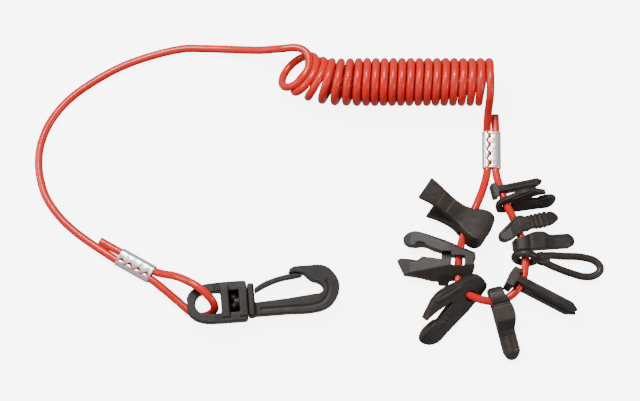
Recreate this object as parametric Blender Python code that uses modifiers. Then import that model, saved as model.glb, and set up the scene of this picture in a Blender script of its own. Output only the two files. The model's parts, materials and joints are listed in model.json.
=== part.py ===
"""Kill switch lanyard: a coiled cord with a swivel snap hook at one end and ten switch keys at the other.

The lanyard lies on a bench. Metres, +Z up, +X to the right, the bench at z = 0.
"""
import math

import bmesh
import bpy
from mathutils import Matrix, Vector
from mathutils.geometry import interpolate_bezier

PART_NAME = "kill_switch_lanyard"

# Moves the lanyard so that the box round its hard pieces is centred over the origin
MIDDLE = Vector((0.0008, 0.0003, 0.0))

# Cord
CORD_DIAMETER = 0.0040
CORD_STEP = 0.0115
CORD_TURN = math.radians(17.0)
CORD_CLEARANCE = 0.0003
BENCH_GAP = 0.0001
CORD_REST = CORD_DIAMETER / 2 + BENCH_GAP

# Coil, as the closed outer shape of its turns
COIL_DIAMETER = 0.0248
COIL_SIDES = 20
COIL_REST = COIL_DIAMETER / 2
COIL_ROUTE = (
    (-0.0530, 0.1006, 0.0),
    (-0.0449, 0.0966, 0.0),
    (-0.0400, 0.0946, 0.0),
    (-0.0340, 0.0936, 0.0),
    (-0.0240, 0.0933, 0.0),
    (0.0440, 0.0933, 0.0),
)

# Ferrules that crimp the cord back on itself
FERRULE_LENGTH = 0.0188
FERRULE_WALL = 0.0004
FERRULE_CLEARANCE = 0.0002
SEAM_WIDTH = 0.0007
SEAM_TEETH = 4
SEAM_DEPTH = 0.0011
LANE_SPACING = CORD_DIAMETER + CORD_CLEARANCE
LUMEN_HEIGHT = CORD_DIAMETER + 2 * FERRULE_CLEARANCE
LUMEN_WIDTH = LANE_SPACING + LUMEN_HEIGHT
FERRULE_REST = LUMEN_HEIGHT / 2 + FERRULE_WALL
HOOK_FERRULE_PLACE = (-0.1301, 0.0013)
HOOK_FERRULE_HEADING = math.radians(-29.1)
KEY_FERRULE_PLACE = (0.0482, 0.0603)
KEY_FERRULE_HEADING = math.radians(-91.0)

# Cord routes: x, y and how far the cord is lifted off the bench
HOOK_TAIL = (-0.1481, 0.0138, 0.0006)
EYE_LOOP = (
    (-0.1145, -0.0042, 0.0040),
    (-0.1090, -0.0058, 0.0096),
    (-0.1036, -0.0076, 0.0134),
    (-0.0988, -0.0104, 0.0145),
    (-0.0946, -0.0145, 0.0138),
    (-0.0920, -0.0182, 0.0105),
    (-0.0914, -0.0205, 0.0065),
    (-0.0918, -0.0214, 0.0030),
    (-0.0938, -0.0232, 0.0006),
    (-0.0985, -0.0240, 0.0000),
    (-0.1040, -0.0205, 0.0000),
    (-0.1095, -0.0158, 0.0000),
    (-0.1150, -0.0112, 0.0003),
)
ARC = (
    (-0.1535, 0.0132, 0.0000),
    (-0.1619, 0.0195, 0.0000),
    (-0.1692, 0.0266, 0.0000),
    (-0.1758, 0.0360, 0.0000),
    (-0.1792, 0.0456, 0.0000),
    (-0.1804, 0.0550, 0.0000),
    (-0.1794, 0.0646, 0.0000),
    (-0.1752, 0.0753, 0.0000),
    (-0.1672, 0.0860, 0.0000),
    (-0.1551, 0.0957, 0.0000),
    (-0.1397, 0.1046, 0.0000),
    (-0.1241, 0.1104, 0.0000),
    (-0.1087, 0.1140, 0.0000),
    (-0.0981, 0.1146, 0.0002),
    (-0.0824, 0.1139, 0.0015),
    (-0.0689, 0.1122, 0.0055),
    (-0.0590, 0.1108, 0.0105),
    (-0.0499, 0.1102, 0.0129),
)
COIL_EXIT = (
    (0.0463, 0.0960, 0.0204),
    (0.0463, 0.0920, 0.0207),
    (0.0463, 0.0880, 0.0192),
    (0.0463, 0.0846, 0.0160),
    (0.0463, 0.0812, 0.0118),
    (0.0462, 0.0780, 0.0072),
    (0.0461, 0.0750, 0.0032),
)
KEY_RING = (
    (0.0445, 0.0440, 0.0024),
    (0.0422, 0.0374, 0.0060),
    (0.0391, 0.0301, 0.0079),
    (0.0360, 0.0232, 0.0083),
    (0.0330, 0.0160, 0.0072),
    (0.0311, 0.0095, 0.0046),
    (0.0303, 0.0030, 0.0036),
    (0.0299, -0.0040, 0.0036),
    (0.0303, -0.0086, 0.0040),
    (0.0332, -0.0127, 0.0050),
    (0.0378, -0.0153, 0.0047),
    (0.0428, -0.0166, 0.0038),
    (0.0489, -0.0171, 0.0033),
    (0.0552, -0.0146, 0.0043),
    (0.0600, -0.0096, 0.0052),
    (0.0625, -0.0031, 0.0052),
    (0.0631, 0.0051, 0.0051),
    (0.0622, 0.0128, 0.0040),
    (0.0597, 0.0199, 0.0036),
    (0.0571, 0.0263, 0.0040),
    (0.0544, 0.0320, 0.0043),
    (0.0523, 0.0385, 0.0038),
    (0.0508, 0.0448, 0.0018),
)
KEY_TAIL = (0.0504, 0.0788, 0.0006)

# Swivel hook unit, measured along its own axis u from the frame's open end, v across and w up
UNIT_PLACE = (-0.0741, -0.0171, 0.0069)
UNIT_HEADING = math.radians(5.0)
UNIT_TILT = math.radians(3.5)
FRAME_LENGTH = 0.0302
FRAME_HALF_WIDTH = 0.0098
FRAME_BAR = 0.0044
FRAME_EYE_DEPTH = 0.0070
FRAME_HOUSING_DEPTH = 0.0094
EYE_CENTRE_U = -0.0193
EYE_LENGTH = 0.0126
CROSS_WALL = 0.0040
WINDOW_LENGTH = 0.0048
COLLAR_GAP = 0.0005
COLLAR_LENGTH = 0.0030
COLLAR_WIDTH = 0.0166
COLLAR_DEPTH = 0.0098
NECK_DIAMETER = 0.0056
NECK_CLEARANCE = 0.0003
HEAD_DIAMETER = 0.0094
HEAD_LENGTH = 0.0034
HEAD_SLIT = 0.0014
HOOK_DEPTH = 0.0076
GATE_DEPTH = 0.0050
SWING_PIVOT = (-0.0175, -0.0020)
MOULD_ROUND = 0.0007

# Keys
KEY_HOLE_DIAMETER = 0.0057
WIDE_HOLE_DIAMETER = 0.0068
LOOSE_HOLE_DIAMETER = 0.0078
KEY_ROUND = 0.0005
SMALL_KEY_SCALE = 0.70
SMALL_PAD_SCALE = 0.86
SMALL_PAD_BACK = -0.0014
SMALL_HEAD_BACK = 0.0
SMALL_HEAD_SHIFT = 0.0018
LARGE_HEAD_BACK = 0.0030
LARGE_HEAD_SHIFT = 0.0030
SLIM_FORK_WIDTH = 0.0032
SLIM_FORK_FLANGE = 0.0102
RIB_GAPS = 4
RIB_STEP = 0.0026
LOOP_ROD = 0.0036
LOOP_RING_LEAN = 15.5
LUG_WINDOW = (0.0066, 0.0047)
PEG_SPLIT = 0.0008
PEG_SPLIT_DEPTH = 0.0060

BLACK = (0.045, 0.037, 0.033, 1.0)
RED = (0.72, 0.035, 0.022, 1.0)
TIN = (0.78, 0.77, 0.76, 1.0)


def clear_scene():
    """Remove every object of the start-up scene."""
    for thing in list(bpy.data.objects):
        bpy.data.objects.remove(thing, do_unlink=True)


def new_collection(name):
    """Make a collection under the scene's own."""
    collection = bpy.data.collections.new(name)
    bpy.context.scene.collection.children.link(collection)
    return collection


def finish_material(name, colour, roughness, metallic):
    """Make a Principled material."""
    material = bpy.data.materials.new(name)
    material.use_nodes = True
    shader = material.node_tree.nodes["Principled BSDF"]
    shader.inputs["Base Color"].default_value = colour
    shader.inputs["Roughness"].default_value = roughness
    shader.inputs["Metallic"].default_value = metallic
    return material


clear_scene()
PARTS = new_collection(PART_NAME)
TOOLS = new_collection("cutters")


def add_object(name, data, collection):
    """Link a new object that holds the data."""
    thing = bpy.data.objects.new(name, data)
    collection.objects.link(thing)
    return thing


def frozen(thing):
    """Replace an object by a plain mesh of what it shows, with its caps joined."""
    bpy.context.view_layer.update()
    evaluated = thing.evaluated_get(bpy.context.evaluated_depsgraph_get())
    mesh = bpy.data.meshes.new_from_object(evaluated)
    mesh.transform(thing.matrix_world)
    solid = bmesh.new()
    solid.from_mesh(mesh)
    bmesh.ops.remove_doubles(solid, verts=solid.verts, dist=0.000002)
    bmesh.ops.dissolve_degenerate(solid, edges=solid.edges, dist=0.000002)
    bmesh.ops.recalc_face_normals(solid, faces=solid.faces)
    solid.to_mesh(mesh)
    solid.free()
    name = thing.name
    bpy.data.objects.remove(thing, do_unlink=True)
    return add_object(name, mesh, TOOLS)


def outline_solid(name, points, thickness, turn=Matrix.Identity(4), resolution=4):
    """Extrude a flat outline by half its thickness each way. A point is (x, y) or (x, y, "smooth")."""
    curve = bpy.data.curves.new(name, "CURVE")
    curve.dimensions = "2D"
    curve.fill_mode = "BOTH"
    curve.extrude = thickness / 2
    curve.resolution_u = resolution
    spline = curve.splines.new("BEZIER")
    spline.bezier_points.add(len(points) - 1)
    for knot, point in zip(spline.bezier_points, points):
        kind = "AUTO" if len(point) > 2 else "VECTOR"
        knot.co = (point[0], point[1], 0.0)
        knot.handle_left_type = kind
        knot.handle_right_type = kind
    spline.use_cyclic_u = True
    solid = frozen(add_object(name, curve, TOOLS))
    solid.data.transform(turn)
    return solid


def block(name, size, centre):
    """Make a box from its size and centre."""
    solid = bmesh.new()
    bmesh.ops.create_cube(solid, size=1.0)
    bmesh.ops.scale(solid, verts=solid.verts, vec=size)
    bmesh.ops.translate(solid, verts=solid.verts, vec=centre)
    mesh = bpy.data.meshes.new(name)
    solid.to_mesh(mesh)
    solid.free()
    return add_object(name, mesh, TOOLS)


def rod(name, diameter, length, place, sides=20):
    """Make a cylinder along the place matrix's own Z axis."""
    solid = bmesh.new()
    bmesh.ops.create_cone(
        solid, cap_ends=True, segments=sides, radius1=diameter / 2, radius2=diameter / 2, depth=length
    )
    bmesh.ops.transform(solid, verts=solid.verts, matrix=place)
    mesh = bpy.data.meshes.new(name)
    solid.to_mesh(mesh)
    solid.free()
    return add_object(name, mesh, TOOLS)


def combined(body, tool, operation):
    """Join, cut or intersect two solids and drop the tool."""
    change = body.modifiers.new(operation.lower(), "BOOLEAN")
    change.operation = operation
    change.solver = "EXACT"
    change.object = tool
    result = frozen(body)
    bpy.data.objects.remove(tool, do_unlink=True)
    return result


def rounded(body, width, segments=1, angle=35.0):
    """Round the edges that are sharper than the angle."""
    change = body.modifiers.new("round", "BEVEL")
    change.width = width
    change.segments = segments
    change.limit_method = "ANGLE"
    change.angle_limit = math.radians(angle)
    change.use_clamp_overlap = True
    return frozen(body)


def deliver(body, material, origin=Vector((0.0, 0.0, 0.0))):
    """Move a finished solid to the part's collection, with its origin where it turns."""
    for collection in list(body.users_collection):
        collection.objects.unlink(body)
    PARTS.objects.link(body)
    body.data.transform(Matrix.Translation(-origin))
    body.location = origin + MIDDLE
    body.data.materials.clear()
    body.data.materials.append(material)
    body.data.shade_smooth()
    body.data.set_sharp_from_angle(angle=math.radians(35.0))
    return body


def smooth_route(points, step, turn):
    """Read points off a smooth curve through the given points, closer together where it turns."""
    knots = [Vector(point) for point in points]
    fine = []
    for index in range(len(knots) - 1):
        here, there = knots[index], knots[index + 1]
        before = knots[index - 1] if index else here
        after = knots[index + 2] if index + 2 < len(knots) else there
        span = (there - here).length
        out = (there - before).normalized() * span / 3
        back = (after - here).normalized() * span / 3
        fine += interpolate_bezier(here, here + out, there - back, there, 12)[:-1]
    fine.append(knots[-1])
    kept = [fine[0]]
    heading = (fine[1] - fine[0]).normalized()
    for here, there in zip(fine[1:], fine[2:]):
        direction = (there - here).normalized()
        if (here - kept[-1]).length >= step or direction.angle(heading) >= turn:
            kept.append(here)
            heading = direction
    kept.append(fine[-1])
    return kept


def cord_tube(name, points, diameter, resolution, material):
    """Sweep a round section with closed ends along the points."""
    curve = bpy.data.curves.new(name, "CURVE")
    curve.dimensions = "3D"
    curve.bevel_depth = diameter / 2
    curve.bevel_resolution = resolution
    curve.use_fill_caps = True
    spline = curve.splines.new("POLY")
    spline.points.add(len(points) - 1)
    for knot, point in zip(spline.points, points):
        knot.co = (*point, 1.0)
    return deliver(frozen(add_object(name, curve, TOOLS)), material)


def on_bench(point):
    """Turn a route point's lift into the height of the cord's centre."""
    return Vector((point[0], point[1], point[2] + CORD_REST))


def lane_points(place, heading, side, forward):
    """Give the two ends and middle of one lane through a ferrule."""
    along = Vector((math.cos(heading), math.sin(heading), 0.0))
    across = Vector((-math.sin(heading), math.cos(heading), 0.0)) * side * LANE_SPACING / 2
    middle = Vector((place[0], place[1], FERRULE_REST)) + across
    inner = along * FERRULE_LENGTH * 0.50
    reach = along * FERRULE_LENGTH * 0.66
    ends = [middle - reach, middle - inner, middle + inner, middle + reach]
    return ends if forward else ends[::-1]


def hook_side_route():
    """Route from the cut tail through the hook's eye and round the arc to the coil."""
    upper = lane_points(HOOK_FERRULE_PLACE, HOOK_FERRULE_HEADING, 1.0, True)
    lower = lane_points(HOOK_FERRULE_PLACE, HOOK_FERRULE_HEADING, -1.0, False)
    route = [on_bench(HOOK_TAIL)] + upper + [on_bench(p) for p in EYE_LOOP] + lower
    return route + [on_bench(p) for p in ARC]


def key_side_route():
    """Route from the coil through the ferrule, round the key ring and back to the cut tail."""
    down = lane_points(KEY_FERRULE_PLACE, KEY_FERRULE_HEADING, -1.0, True)
    back = lane_points(KEY_FERRULE_PLACE, KEY_FERRULE_HEADING, 1.0, False)
    route = [on_bench(p) for p in COIL_EXIT] + down + [on_bench(p) for p in KEY_RING] + back
    return route + [on_bench(KEY_TAIL)]


def make_coil(material):
    """Make the coil's closed outer shape as one fat tube that follows its bent end."""
    points = [Vector((x, y, z + COIL_REST)) for x, y, z in COIL_ROUTE]
    curve = bpy.data.curves.new("coil", "CURVE")
    curve.dimensions = "3D"
    curve.bevel_depth = COIL_DIAMETER / 2
    curve.bevel_resolution = 4
    curve.use_fill_caps = True
    spline = curve.splines.new("POLY")
    spline.points.add(len(points) - 1)
    for knot, point in zip(spline.points, points):
        knot.co = (*point, 1.0)
    return deliver(frozen(add_object("coil", curve, TOOLS)), material)


def stadium(width, height):
    """Outline of a slot with round ends, as points on two half circles."""
    radius = height / 2
    straight = width / 2 - radius
    points = []
    for side in (1.0, -1.0):
        for index in range(9):
            angle = math.pi * index / 8 - math.pi / 2
            points.append((side * (straight + radius * math.cos(angle)), side * radius * math.sin(angle)))
    return points


def make_ferrule(name, place, heading, seam_side, material):
    """Make an oval crimp sleeve with a toothed seam along one lane."""
    upright = Matrix.Rotation(math.radians(90.0), 4, "Y") @ Matrix.Rotation(math.radians(90.0), 4, "Z")
    outer = stadium(LUMEN_WIDTH + 2 * FERRULE_WALL, LUMEN_HEIGHT + 2 * FERRULE_WALL)
    inner = stadium(LUMEN_WIDTH, LUMEN_HEIGHT)
    sleeve = outline_solid(name, outer, FERRULE_LENGTH, upright, 1)
    lumen = outline_solid("lumen", inner, FERRULE_LENGTH * 2, upright, 1)
    sleeve = combined(sleeve, lumen, "DIFFERENCE")
    tooth = FERRULE_LENGTH / (SEAM_TEETH * 2)
    count = SEAM_TEETH * 2 + 2
    edge = []
    for index in range(count + 1):
        edge.append(((index - count / 2) * tooth, SEAM_DEPTH * (0.5 if index % 2 else -0.5)))
    zigzag = [(x, y + SEAM_WIDTH / 2) for x, y in edge] + [(x, y - SEAM_WIDTH / 2) for x, y in reversed(edge)]
    offset = seam_side * LANE_SPACING / 4
    over = Matrix.Translation((0.0, offset, FERRULE_REST))
    seam = outline_solid("seam", zigzag, FERRULE_REST, over, 1)
    sleeve = combined(sleeve, seam, "DIFFERENCE")
    turn = Matrix.Translation((place[0], place[1], FERRULE_REST)) @ Matrix.Rotation(heading, 4, "Z")
    sleeve.data.transform(turn)
    return deliver(sleeve, material)


UNIT = (
    Matrix.Translation(UNIT_PLACE)
    @ Matrix.Rotation(UNIT_HEADING, 4, "Z")
    @ Matrix.Rotation(UNIT_TILT, 4, "Y")
)
ALONG_U = Matrix.Rotation(math.radians(90.0), 4, "Y")
SIDE_VIEW = Matrix.Rotation(math.radians(90.0), 4, "X")


def make_frame(material):
    """Make the swivel frame: an eye for the cord and a housing for the hook's snap head."""
    half = FRAME_HALF_WIDTH
    end = -FRAME_LENGTH
    outline = (
        (0.0, -half + 0.0012),
        (-0.0012, -half),
        (-0.0180, -half),
        (-0.0225, -half * 0.93, "smooth"),
        (-0.0268, -half * 0.72, "smooth"),
        (-0.0294, -half * 0.38, "smooth"),
        (end, 0.0, "smooth"),
        (-0.0294, half * 0.38, "smooth"),
        (-0.0268, half * 0.72, "smooth"),
        (-0.0225, half * 0.93, "smooth"),
        (-0.0180, half),
        (-0.0012, half),
        (0.0, half - 0.0012),
    )
    body = outline_solid("swivel_frame", outline, FRAME_HOUSING_DEPTH, resolution=3)
    deep = FRAME_HOUSING_DEPTH / 2
    thin = FRAME_EYE_DEPTH / 2
    wall_start = EYE_CENTRE_U + EYE_LENGTH / 2
    side = (
        (0.002, -deep), (0.002, deep), (wall_start, deep), (wall_start - 0.004, thin),
        (end - 0.002, thin), (end - 0.002, -thin), (wall_start - 0.004, -thin), (wall_start, -deep),
    )
    body = combined(body, outline_solid("profile", side, half * 3, SIDE_VIEW), "INTERSECT")
    inner = half - FRAME_BAR
    left = EYE_CENTRE_U - EYE_LENGTH / 2
    eye = (
        (wall_start, -inner), (wall_start, inner), (left + 0.0055, inner),
        (left + 0.0016, inner * 0.70, "smooth"), (left, 0.0, "smooth"),
        (left + 0.0016, -inner * 0.70, "smooth"), (left + 0.0055, -inner),
    )
    body = rounded(body, MOULD_ROUND)
    body = combined(body, outline_solid("eye", eye, FRAME_HOUSING_DEPTH * 2, resolution=3), "DIFFERENCE")
    window_middle = wall_start + CROSS_WALL + WINDOW_LENGTH / 2
    window = block("window", (WINDOW_LENGTH, inner * 2, FRAME_HOUSING_DEPTH * 2), (window_middle, 0.0, 0.0))
    body = combined(body, window, "DIFFERENCE")
    bore = NECK_DIAMETER + 2 * NECK_CLEARANCE
    throat = rod("throat", bore, -window_middle * 2, Matrix.Translation((0.0, 0.0, 0.0)) @ ALONG_U)
    body = combined(body, throat, "DIFFERENCE")
    body.data.transform(UNIT)
    pivot = UNIT @ Vector((SWING_PIVOT[0], SWING_PIVOT[1], 0.0))
    return deliver(body, material, pivot)


def make_hook(material):
    """Make the hook with its collar, neck and split snap head."""
    start = COLLAR_GAP + COLLAR_LENGTH * 0.5
    outline = (
        (start, -0.0079), (0.0200, -0.0079), (0.0330, -0.0080, "smooth"), (0.0388, -0.0066, "smooth"),
        (0.0430, -0.0034, "smooth"), (0.0453, 0.0010, "smooth"), (0.0456, 0.0055, "smooth"),
        (0.0436, 0.0102, "smooth"), (0.0402, 0.0137, "smooth"), (0.0360, 0.0150, "smooth"),
        (0.0310, 0.0150, "smooth"), (0.0271, 0.0151, "smooth"), (0.0238, 0.0148, "smooth"),
        (0.0216, 0.0134, "smooth"), (0.0218, 0.0119, "smooth"), (0.0240, 0.0122),
        (0.0286, 0.0113), (0.0311, 0.0086, "smooth"), (0.0326, 0.0074, "smooth"),
        (0.0353, 0.0064, "smooth"), (0.0374, 0.0045, "smooth"), (0.0377, 0.0028, "smooth"),
        (0.0359, 0.0010, "smooth"), (0.0330, 0.0007), (0.0200, -0.0005), (start, -0.0015),
    )
    body = outline_solid("hook", outline, HOOK_DEPTH, resolution=3)
    body = rounded(body, 0.0016, 2, 50.0)
    collar = block("collar", (COLLAR_LENGTH, COLLAR_WIDTH, COLLAR_DEPTH), (COLLAR_GAP + COLLAR_LENGTH / 2, 0.0, 0.0))
    body = combined(body, rounded(collar, MOULD_ROUND * 1.5), "UNION")
    wall_start = EYE_CENTRE_U + EYE_LENGTH / 2
    window_middle = wall_start + CROSS_WALL + WINDOW_LENGTH / 2
    neck_length = COLLAR_GAP + COLLAR_LENGTH / 2 - window_middle
    neck_middle = (COLLAR_GAP + COLLAR_LENGTH / 2 + window_middle) / 2
    neck = rod("neck", NECK_DIAMETER, neck_length, Matrix.Translation((neck_middle, 0.0, 0.0)) @ ALONG_U)
    body = combined(body, neck, "UNION")
    head = rod("head", HEAD_DIAMETER, HEAD_LENGTH, Matrix.Translation((window_middle, 0.0, 0.0)) @ ALONG_U)
    body = combined(body, rounded(head, MOULD_ROUND), "UNION")
    slit_end = window_middle - HEAD_LENGTH
    slit = block("slit", (HEAD_LENGTH * 3, HEAD_SLIT, HEAD_DIAMETER * 2), (slit_end, 0.0, 0.0))
    body = combined(body, slit, "DIFFERENCE")
    body.data.transform(UNIT)
    return deliver(body, material, UNIT @ Vector((COLLAR_GAP, 0.0, 0.0)))


def make_gate(material):
    """Make the springy tongue that closes the hook from inside its nose."""
    root = COLLAR_GAP + COLLAR_LENGTH + CORD_CLEARANCE
    outline = (
        (root, 0.0034), (root, 0.0060), (0.0080, 0.0083, "smooth"), (0.0130, 0.0100, "smooth"),
        (0.0185, 0.0112, "smooth"), (0.0236, 0.0117, "smooth"), (0.0277, 0.0110), (0.0279, 0.0100),
        (0.0236, 0.0097, "smooth"), (0.0186, 0.0092, "smooth"), (0.0131, 0.0079, "smooth"),
        (0.0080, 0.0059, "smooth"),
    )
    body = rounded(outline_solid("gate", outline, GATE_DEPTH, resolution=3), 0.0003)
    body.data.transform(UNIT)
    return deliver(body, material, UNIT @ Vector((root, 0.0045, 0.0)))


def crossed(name, plan, side, width, height):
    """Intersect a plan outline with a side profile."""
    body = outline_solid(name, plan, height, resolution=3)
    return combined(body, outline_solid("side", side, width, SIDE_VIEW, 3), "INTERSECT")


def scaled(points, factor):
    """Scale an outline's points and keep what they say about smoothness."""
    return [(p[0] * factor, p[1] * factor, *p[2:]) for p in points]


def mirrored(points, side_up):
    """Turn an outline over for a key that lies on its other face."""
    if side_up > 0.0:
        return points
    return [(p[0], -p[1], *p[2:]) for p in reversed(points)]


def sliced(body, edge, slope, run=0.0):
    """Cut off what lies beyond a sloping plane through an edge point. The slope is (down, out) and runs along x."""
    along = Vector((1.0, run, 0.0)).normalized()
    fall = Vector((0.0, slope[1], -slope[0])).normalized()
    normal = along.cross(fall)
    if normal.z < 0.0:
        normal = -normal
    far = block("slice", (0.2, 0.2, 0.1), (0.0, 0.0, 0.05))
    far.data.transform(Matrix.Translation(edge) @ normal.to_track_quat("Z", "Y").to_matrix().to_4x4())
    return combined(body, far, "DIFFERENCE")


def slim_fork(name, k):
    """Fork that stands on its edge, with a flanged head and two pointed prongs one over the other."""
    half = SLIM_FORK_WIDTH / 2
    flange = SLIM_FORK_FLANGE * k / 2
    plan = (
        (-0.0068 * k, -flange), (-0.0068 * k, flange), (-0.0032 * k, flange), (-0.0030 * k, half),
        (0.0262 * k, half), (0.0311 * k, 0.0003), (0.0311 * k, -0.0003), (0.0262 * k, -half),
        (-0.0030 * k, -half), (-0.0032 * k, -flange),
    )
    side = scaled((
        (-0.0068, -0.0050), (-0.0068, 0.0050), (-0.0030, 0.0056), (0.0262, 0.0056), (0.0302, 0.0032),
        (0.0294, 0.0012), (0.0080, 0.0007), (0.0064, 0.0000, "smooth"), (0.0080, -0.0007), (0.0303, -0.0012),
        (0.0311, -0.0032), (0.0262, -0.0056), (-0.0030, -0.0056),
    ), k)
    return rounded(crossed(name, plan, side, 0.02 * k, 0.02 * k), KEY_ROUND * k)


def bulb_fork(name, k, back, aside, side_up):
    """Broad fork with two swollen prongs, leaning over on the cord, with either face up."""
    plan = scaled((
        (-0.0078, -0.0034, "smooth"), (-0.0062, 0.0018, "smooth"), (0.0045, 0.0066), (0.0130, 0.0094, "smooth"),
        (0.0182, 0.0092, "smooth"), (0.0240, 0.0064, "smooth"), (0.0284, 0.0038), (0.0278, 0.0026),
        (0.0200, 0.0020), (0.0128, 0.0008), (0.0126, -0.0004), (0.0196, -0.0018), (0.0226, -0.0028),
        (0.0250, -0.0006), (0.0325, -0.0012, "smooth"), (0.0360, -0.0042, "smooth"),
        (0.0352, -0.0080, "smooth"), (0.0308, -0.0114, "smooth"), (0.0250, -0.0120), (0.0080, -0.0108),
        (-0.0034, -0.0088), (-0.0070, -0.0072, "smooth"),
    ), k)
    side = scaled((
        (-0.0080, -0.0018), (-0.0080, 0.0018), (0.0230, 0.0018), (0.0290, 0.0024, "smooth"),
        (0.0340, 0.0018, "smooth"), (0.0366, 0.0006), (0.0366, -0.0008), (0.0330, -0.0018),
    ), k)
    body = rounded(crossed(name, mirrored(plan, side_up), side, 0.03 * k, 0.02 * k), KEY_ROUND * k)
    body.data.transform(Matrix.Translation((-back, aside * side_up, 0.0)))
    return body


def pad_key(name, k, back):
    """Blade with a bent strap over the cord and a creased pad."""
    plan = scaled((
        (-0.0072, -0.0036), (-0.0064, -0.0044), (0.0252, -0.0047), (0.0288, -0.0026, "smooth"),
        (0.0292, 0.0008, "smooth"), (0.0260, 0.0036), (0.0148, 0.0037), (0.0095, 0.0052, "smooth"),
        (0.0050, 0.0053, "smooth"), (0.0000, 0.0040, "smooth"), (-0.0025, 0.0028), (-0.0064, 0.0026), (-0.0072, 0.0018),
    ), k)
    side = scaled((
        (-0.0074, -0.0048), (-0.0074, 0.0014), (-0.0058, 0.0040, "smooth"), (-0.0028, 0.0052, "smooth"),
        (0.0004, 0.0049, "smooth"), (0.0016, 0.0036), (0.0030, 0.0046), (0.0104, 0.0046), (0.0146, 0.0006),
        (0.0162, -0.0002), (0.0258, -0.0006), (0.0294, -0.0024), (0.0294, -0.0048),
    ), k)
    body = rounded(crossed(name, plan, side, 0.02 * k, 0.02 * k), KEY_ROUND * k)
    body.data.transform(Matrix.Translation((-back, 0.0, 0.0)))
    return body


def ribbed_key(name):
    """Small key with a slanting lobe at its root and four ribs along its back."""
    plan = (
        (-0.0086, -0.0062, "smooth"), (-0.0097, -0.0040, "smooth"), (-0.0088, -0.0014), (-0.0006, 0.0036),
        (0.0022, 0.0041, "smooth"), (0.0046, 0.0030), (0.0072, 0.0035), (0.0180, 0.0031, "smooth"),
        (0.0212, 0.0013, "smooth"), (0.0221, -0.0007, "smooth"), (0.0200, -0.0025, "smooth"), (0.0165, -0.0034),
        (0.0112, -0.0036), (0.0096, -0.0029), (0.0078, -0.0029), (0.0064, -0.0036), (0.0020, -0.0034),
        (-0.0034, -0.0062, "smooth"),
    )
    side = (
        (-0.0105, -0.0036), (-0.0105, 0.0020), (-0.0040, 0.0038), (0.0060, 0.0036), (0.0110, 0.0024),
        (0.0200, 0.0016, "smooth"), (0.0230, -0.0008), (0.0215, -0.0034), (0.0160, -0.0040),
    )
    body = rounded(crossed(name, plan, side, 0.02, 0.02), KEY_ROUND * 0.8)
    for index in range(RIB_GAPS):
        place = (0.0072 + index * RIB_STEP, 0.0, 0.0034 - index * RIB_STEP * 0.15)
        body = combined(body, block("groove", (RIB_STEP * 0.42, 0.0200, 0.0016), place), "DIFFERENCE")
    return body


def loop_key(name):
    """Leaning ring eye with a flat teardrop loop of the same rod."""
    lean = math.radians(90.0 - LOOP_RING_LEAN)
    bpy.ops.mesh.primitive_torus_add(
        major_radius=0.0052, minor_radius=LOOP_ROD / 2, major_segments=24, minor_segments=10,
        rotation=(lean, 0.0, 0.0), location=(0.0, 0.0, 0.0),
    )
    ring = bpy.context.object
    ring.name = name
    ring = frozen(ring)
    curve = bpy.data.curves.new("teardrop", "CURVE")
    curve.dimensions = "3D"
    curve.bevel_depth = LOOP_ROD / 2
    curve.bevel_resolution = 2
    curve.resolution_u = 4
    spline = curve.splines.new("BEZIER")
    knots = (
        (0.0062, 0.0010, -0.0010), (0.0112, 0.0034, -0.0028), (0.0190, 0.0044, -0.0034), (0.0300, 0.0053, -0.0034),
        (0.0362, 0.0039, -0.0034), (0.0384, 0.0008, -0.0034), (0.0362, -0.0026, -0.0034), (0.0310, -0.0042, -0.0034),
        (0.0260, -0.0038, -0.0034), (0.0170, -0.0020, -0.0034), (0.0108, -0.0004, -0.0026),
    )
    spline.bezier_points.add(len(knots) - 1)
    for knot, point in zip(spline.bezier_points, knots):
        knot.co = point
        knot.handle_left_type = "AUTO"
        knot.handle_right_type = "AUTO"
    spline.use_cyclic_u = True
    return combined(ring, frozen(add_object("teardrop", curve, TOOLS)), "UNION")


def lug_fork(name):
    """Broad fork that the cord crosses from side to side, with a window, a sunk web and a side lug."""
    plan = (
        (-0.0080, -0.0040), (0.0000, -0.0075), (0.0082, -0.0104), (0.0197, -0.0131, "smooth"),
        (0.0226, -0.0133, "smooth"), (0.0268, -0.0114, "smooth"), (0.0278, -0.0092, "smooth"),
        (0.0262, -0.0067, "smooth"), (0.0217, -0.0058), (0.0186, -0.0064), (0.0161, -0.0060), (0.0124, -0.0044),
        (0.0086, -0.0034), (0.0086, 0.0004), (0.0142, -0.0004), (0.0180, -0.0009), (0.0206, 0.0012), (0.0225, 0.0008),
        (0.0290, 0.0002), (0.0306, 0.0014), (0.0270, 0.0084), (0.0200, 0.0092), (0.0127, 0.0108), (0.0102, 0.0108),
        (0.0096, 0.0127), (0.0053, 0.0129), (0.0042, 0.0104), (-0.0021, 0.0098), (-0.0068, 0.0072), (-0.0080, 0.0032),
        (-0.0074, 0.0010), (-0.0084, -0.0012),
    )
    side = (
        (-0.0085, -0.0036), (-0.0085, 0.0048), (0.0050, 0.0052), (0.0240, 0.0042), (0.0310, 0.0014),
        (0.0310, -0.0020), (0.0240, -0.0036),
    )
    body = crossed(name, plan, side, 0.04, 0.02)
    body = sliced(body, (0.0031, 0.0038, 0.0050), (0.0037, 0.0060), 0.12)
    body = sliced(body, (0.0083, -0.0086, 0.0048), (0.0044, -0.0018), -0.38)
    body = rounded(body, KEY_ROUND * 0.8)
    window = block("window", (LUG_WINDOW[0], LUG_WINDOW[1], 0.03), (0.0004, 0.0009, 0.0))
    body = combined(body, window, "DIFFERENCE")
    sunk = block("sunk", (0.0049, 0.0036, 0.0060), (0.0062, -0.0015, 0.0040))
    return combined(body, sunk, "DIFFERENCE")


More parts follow.
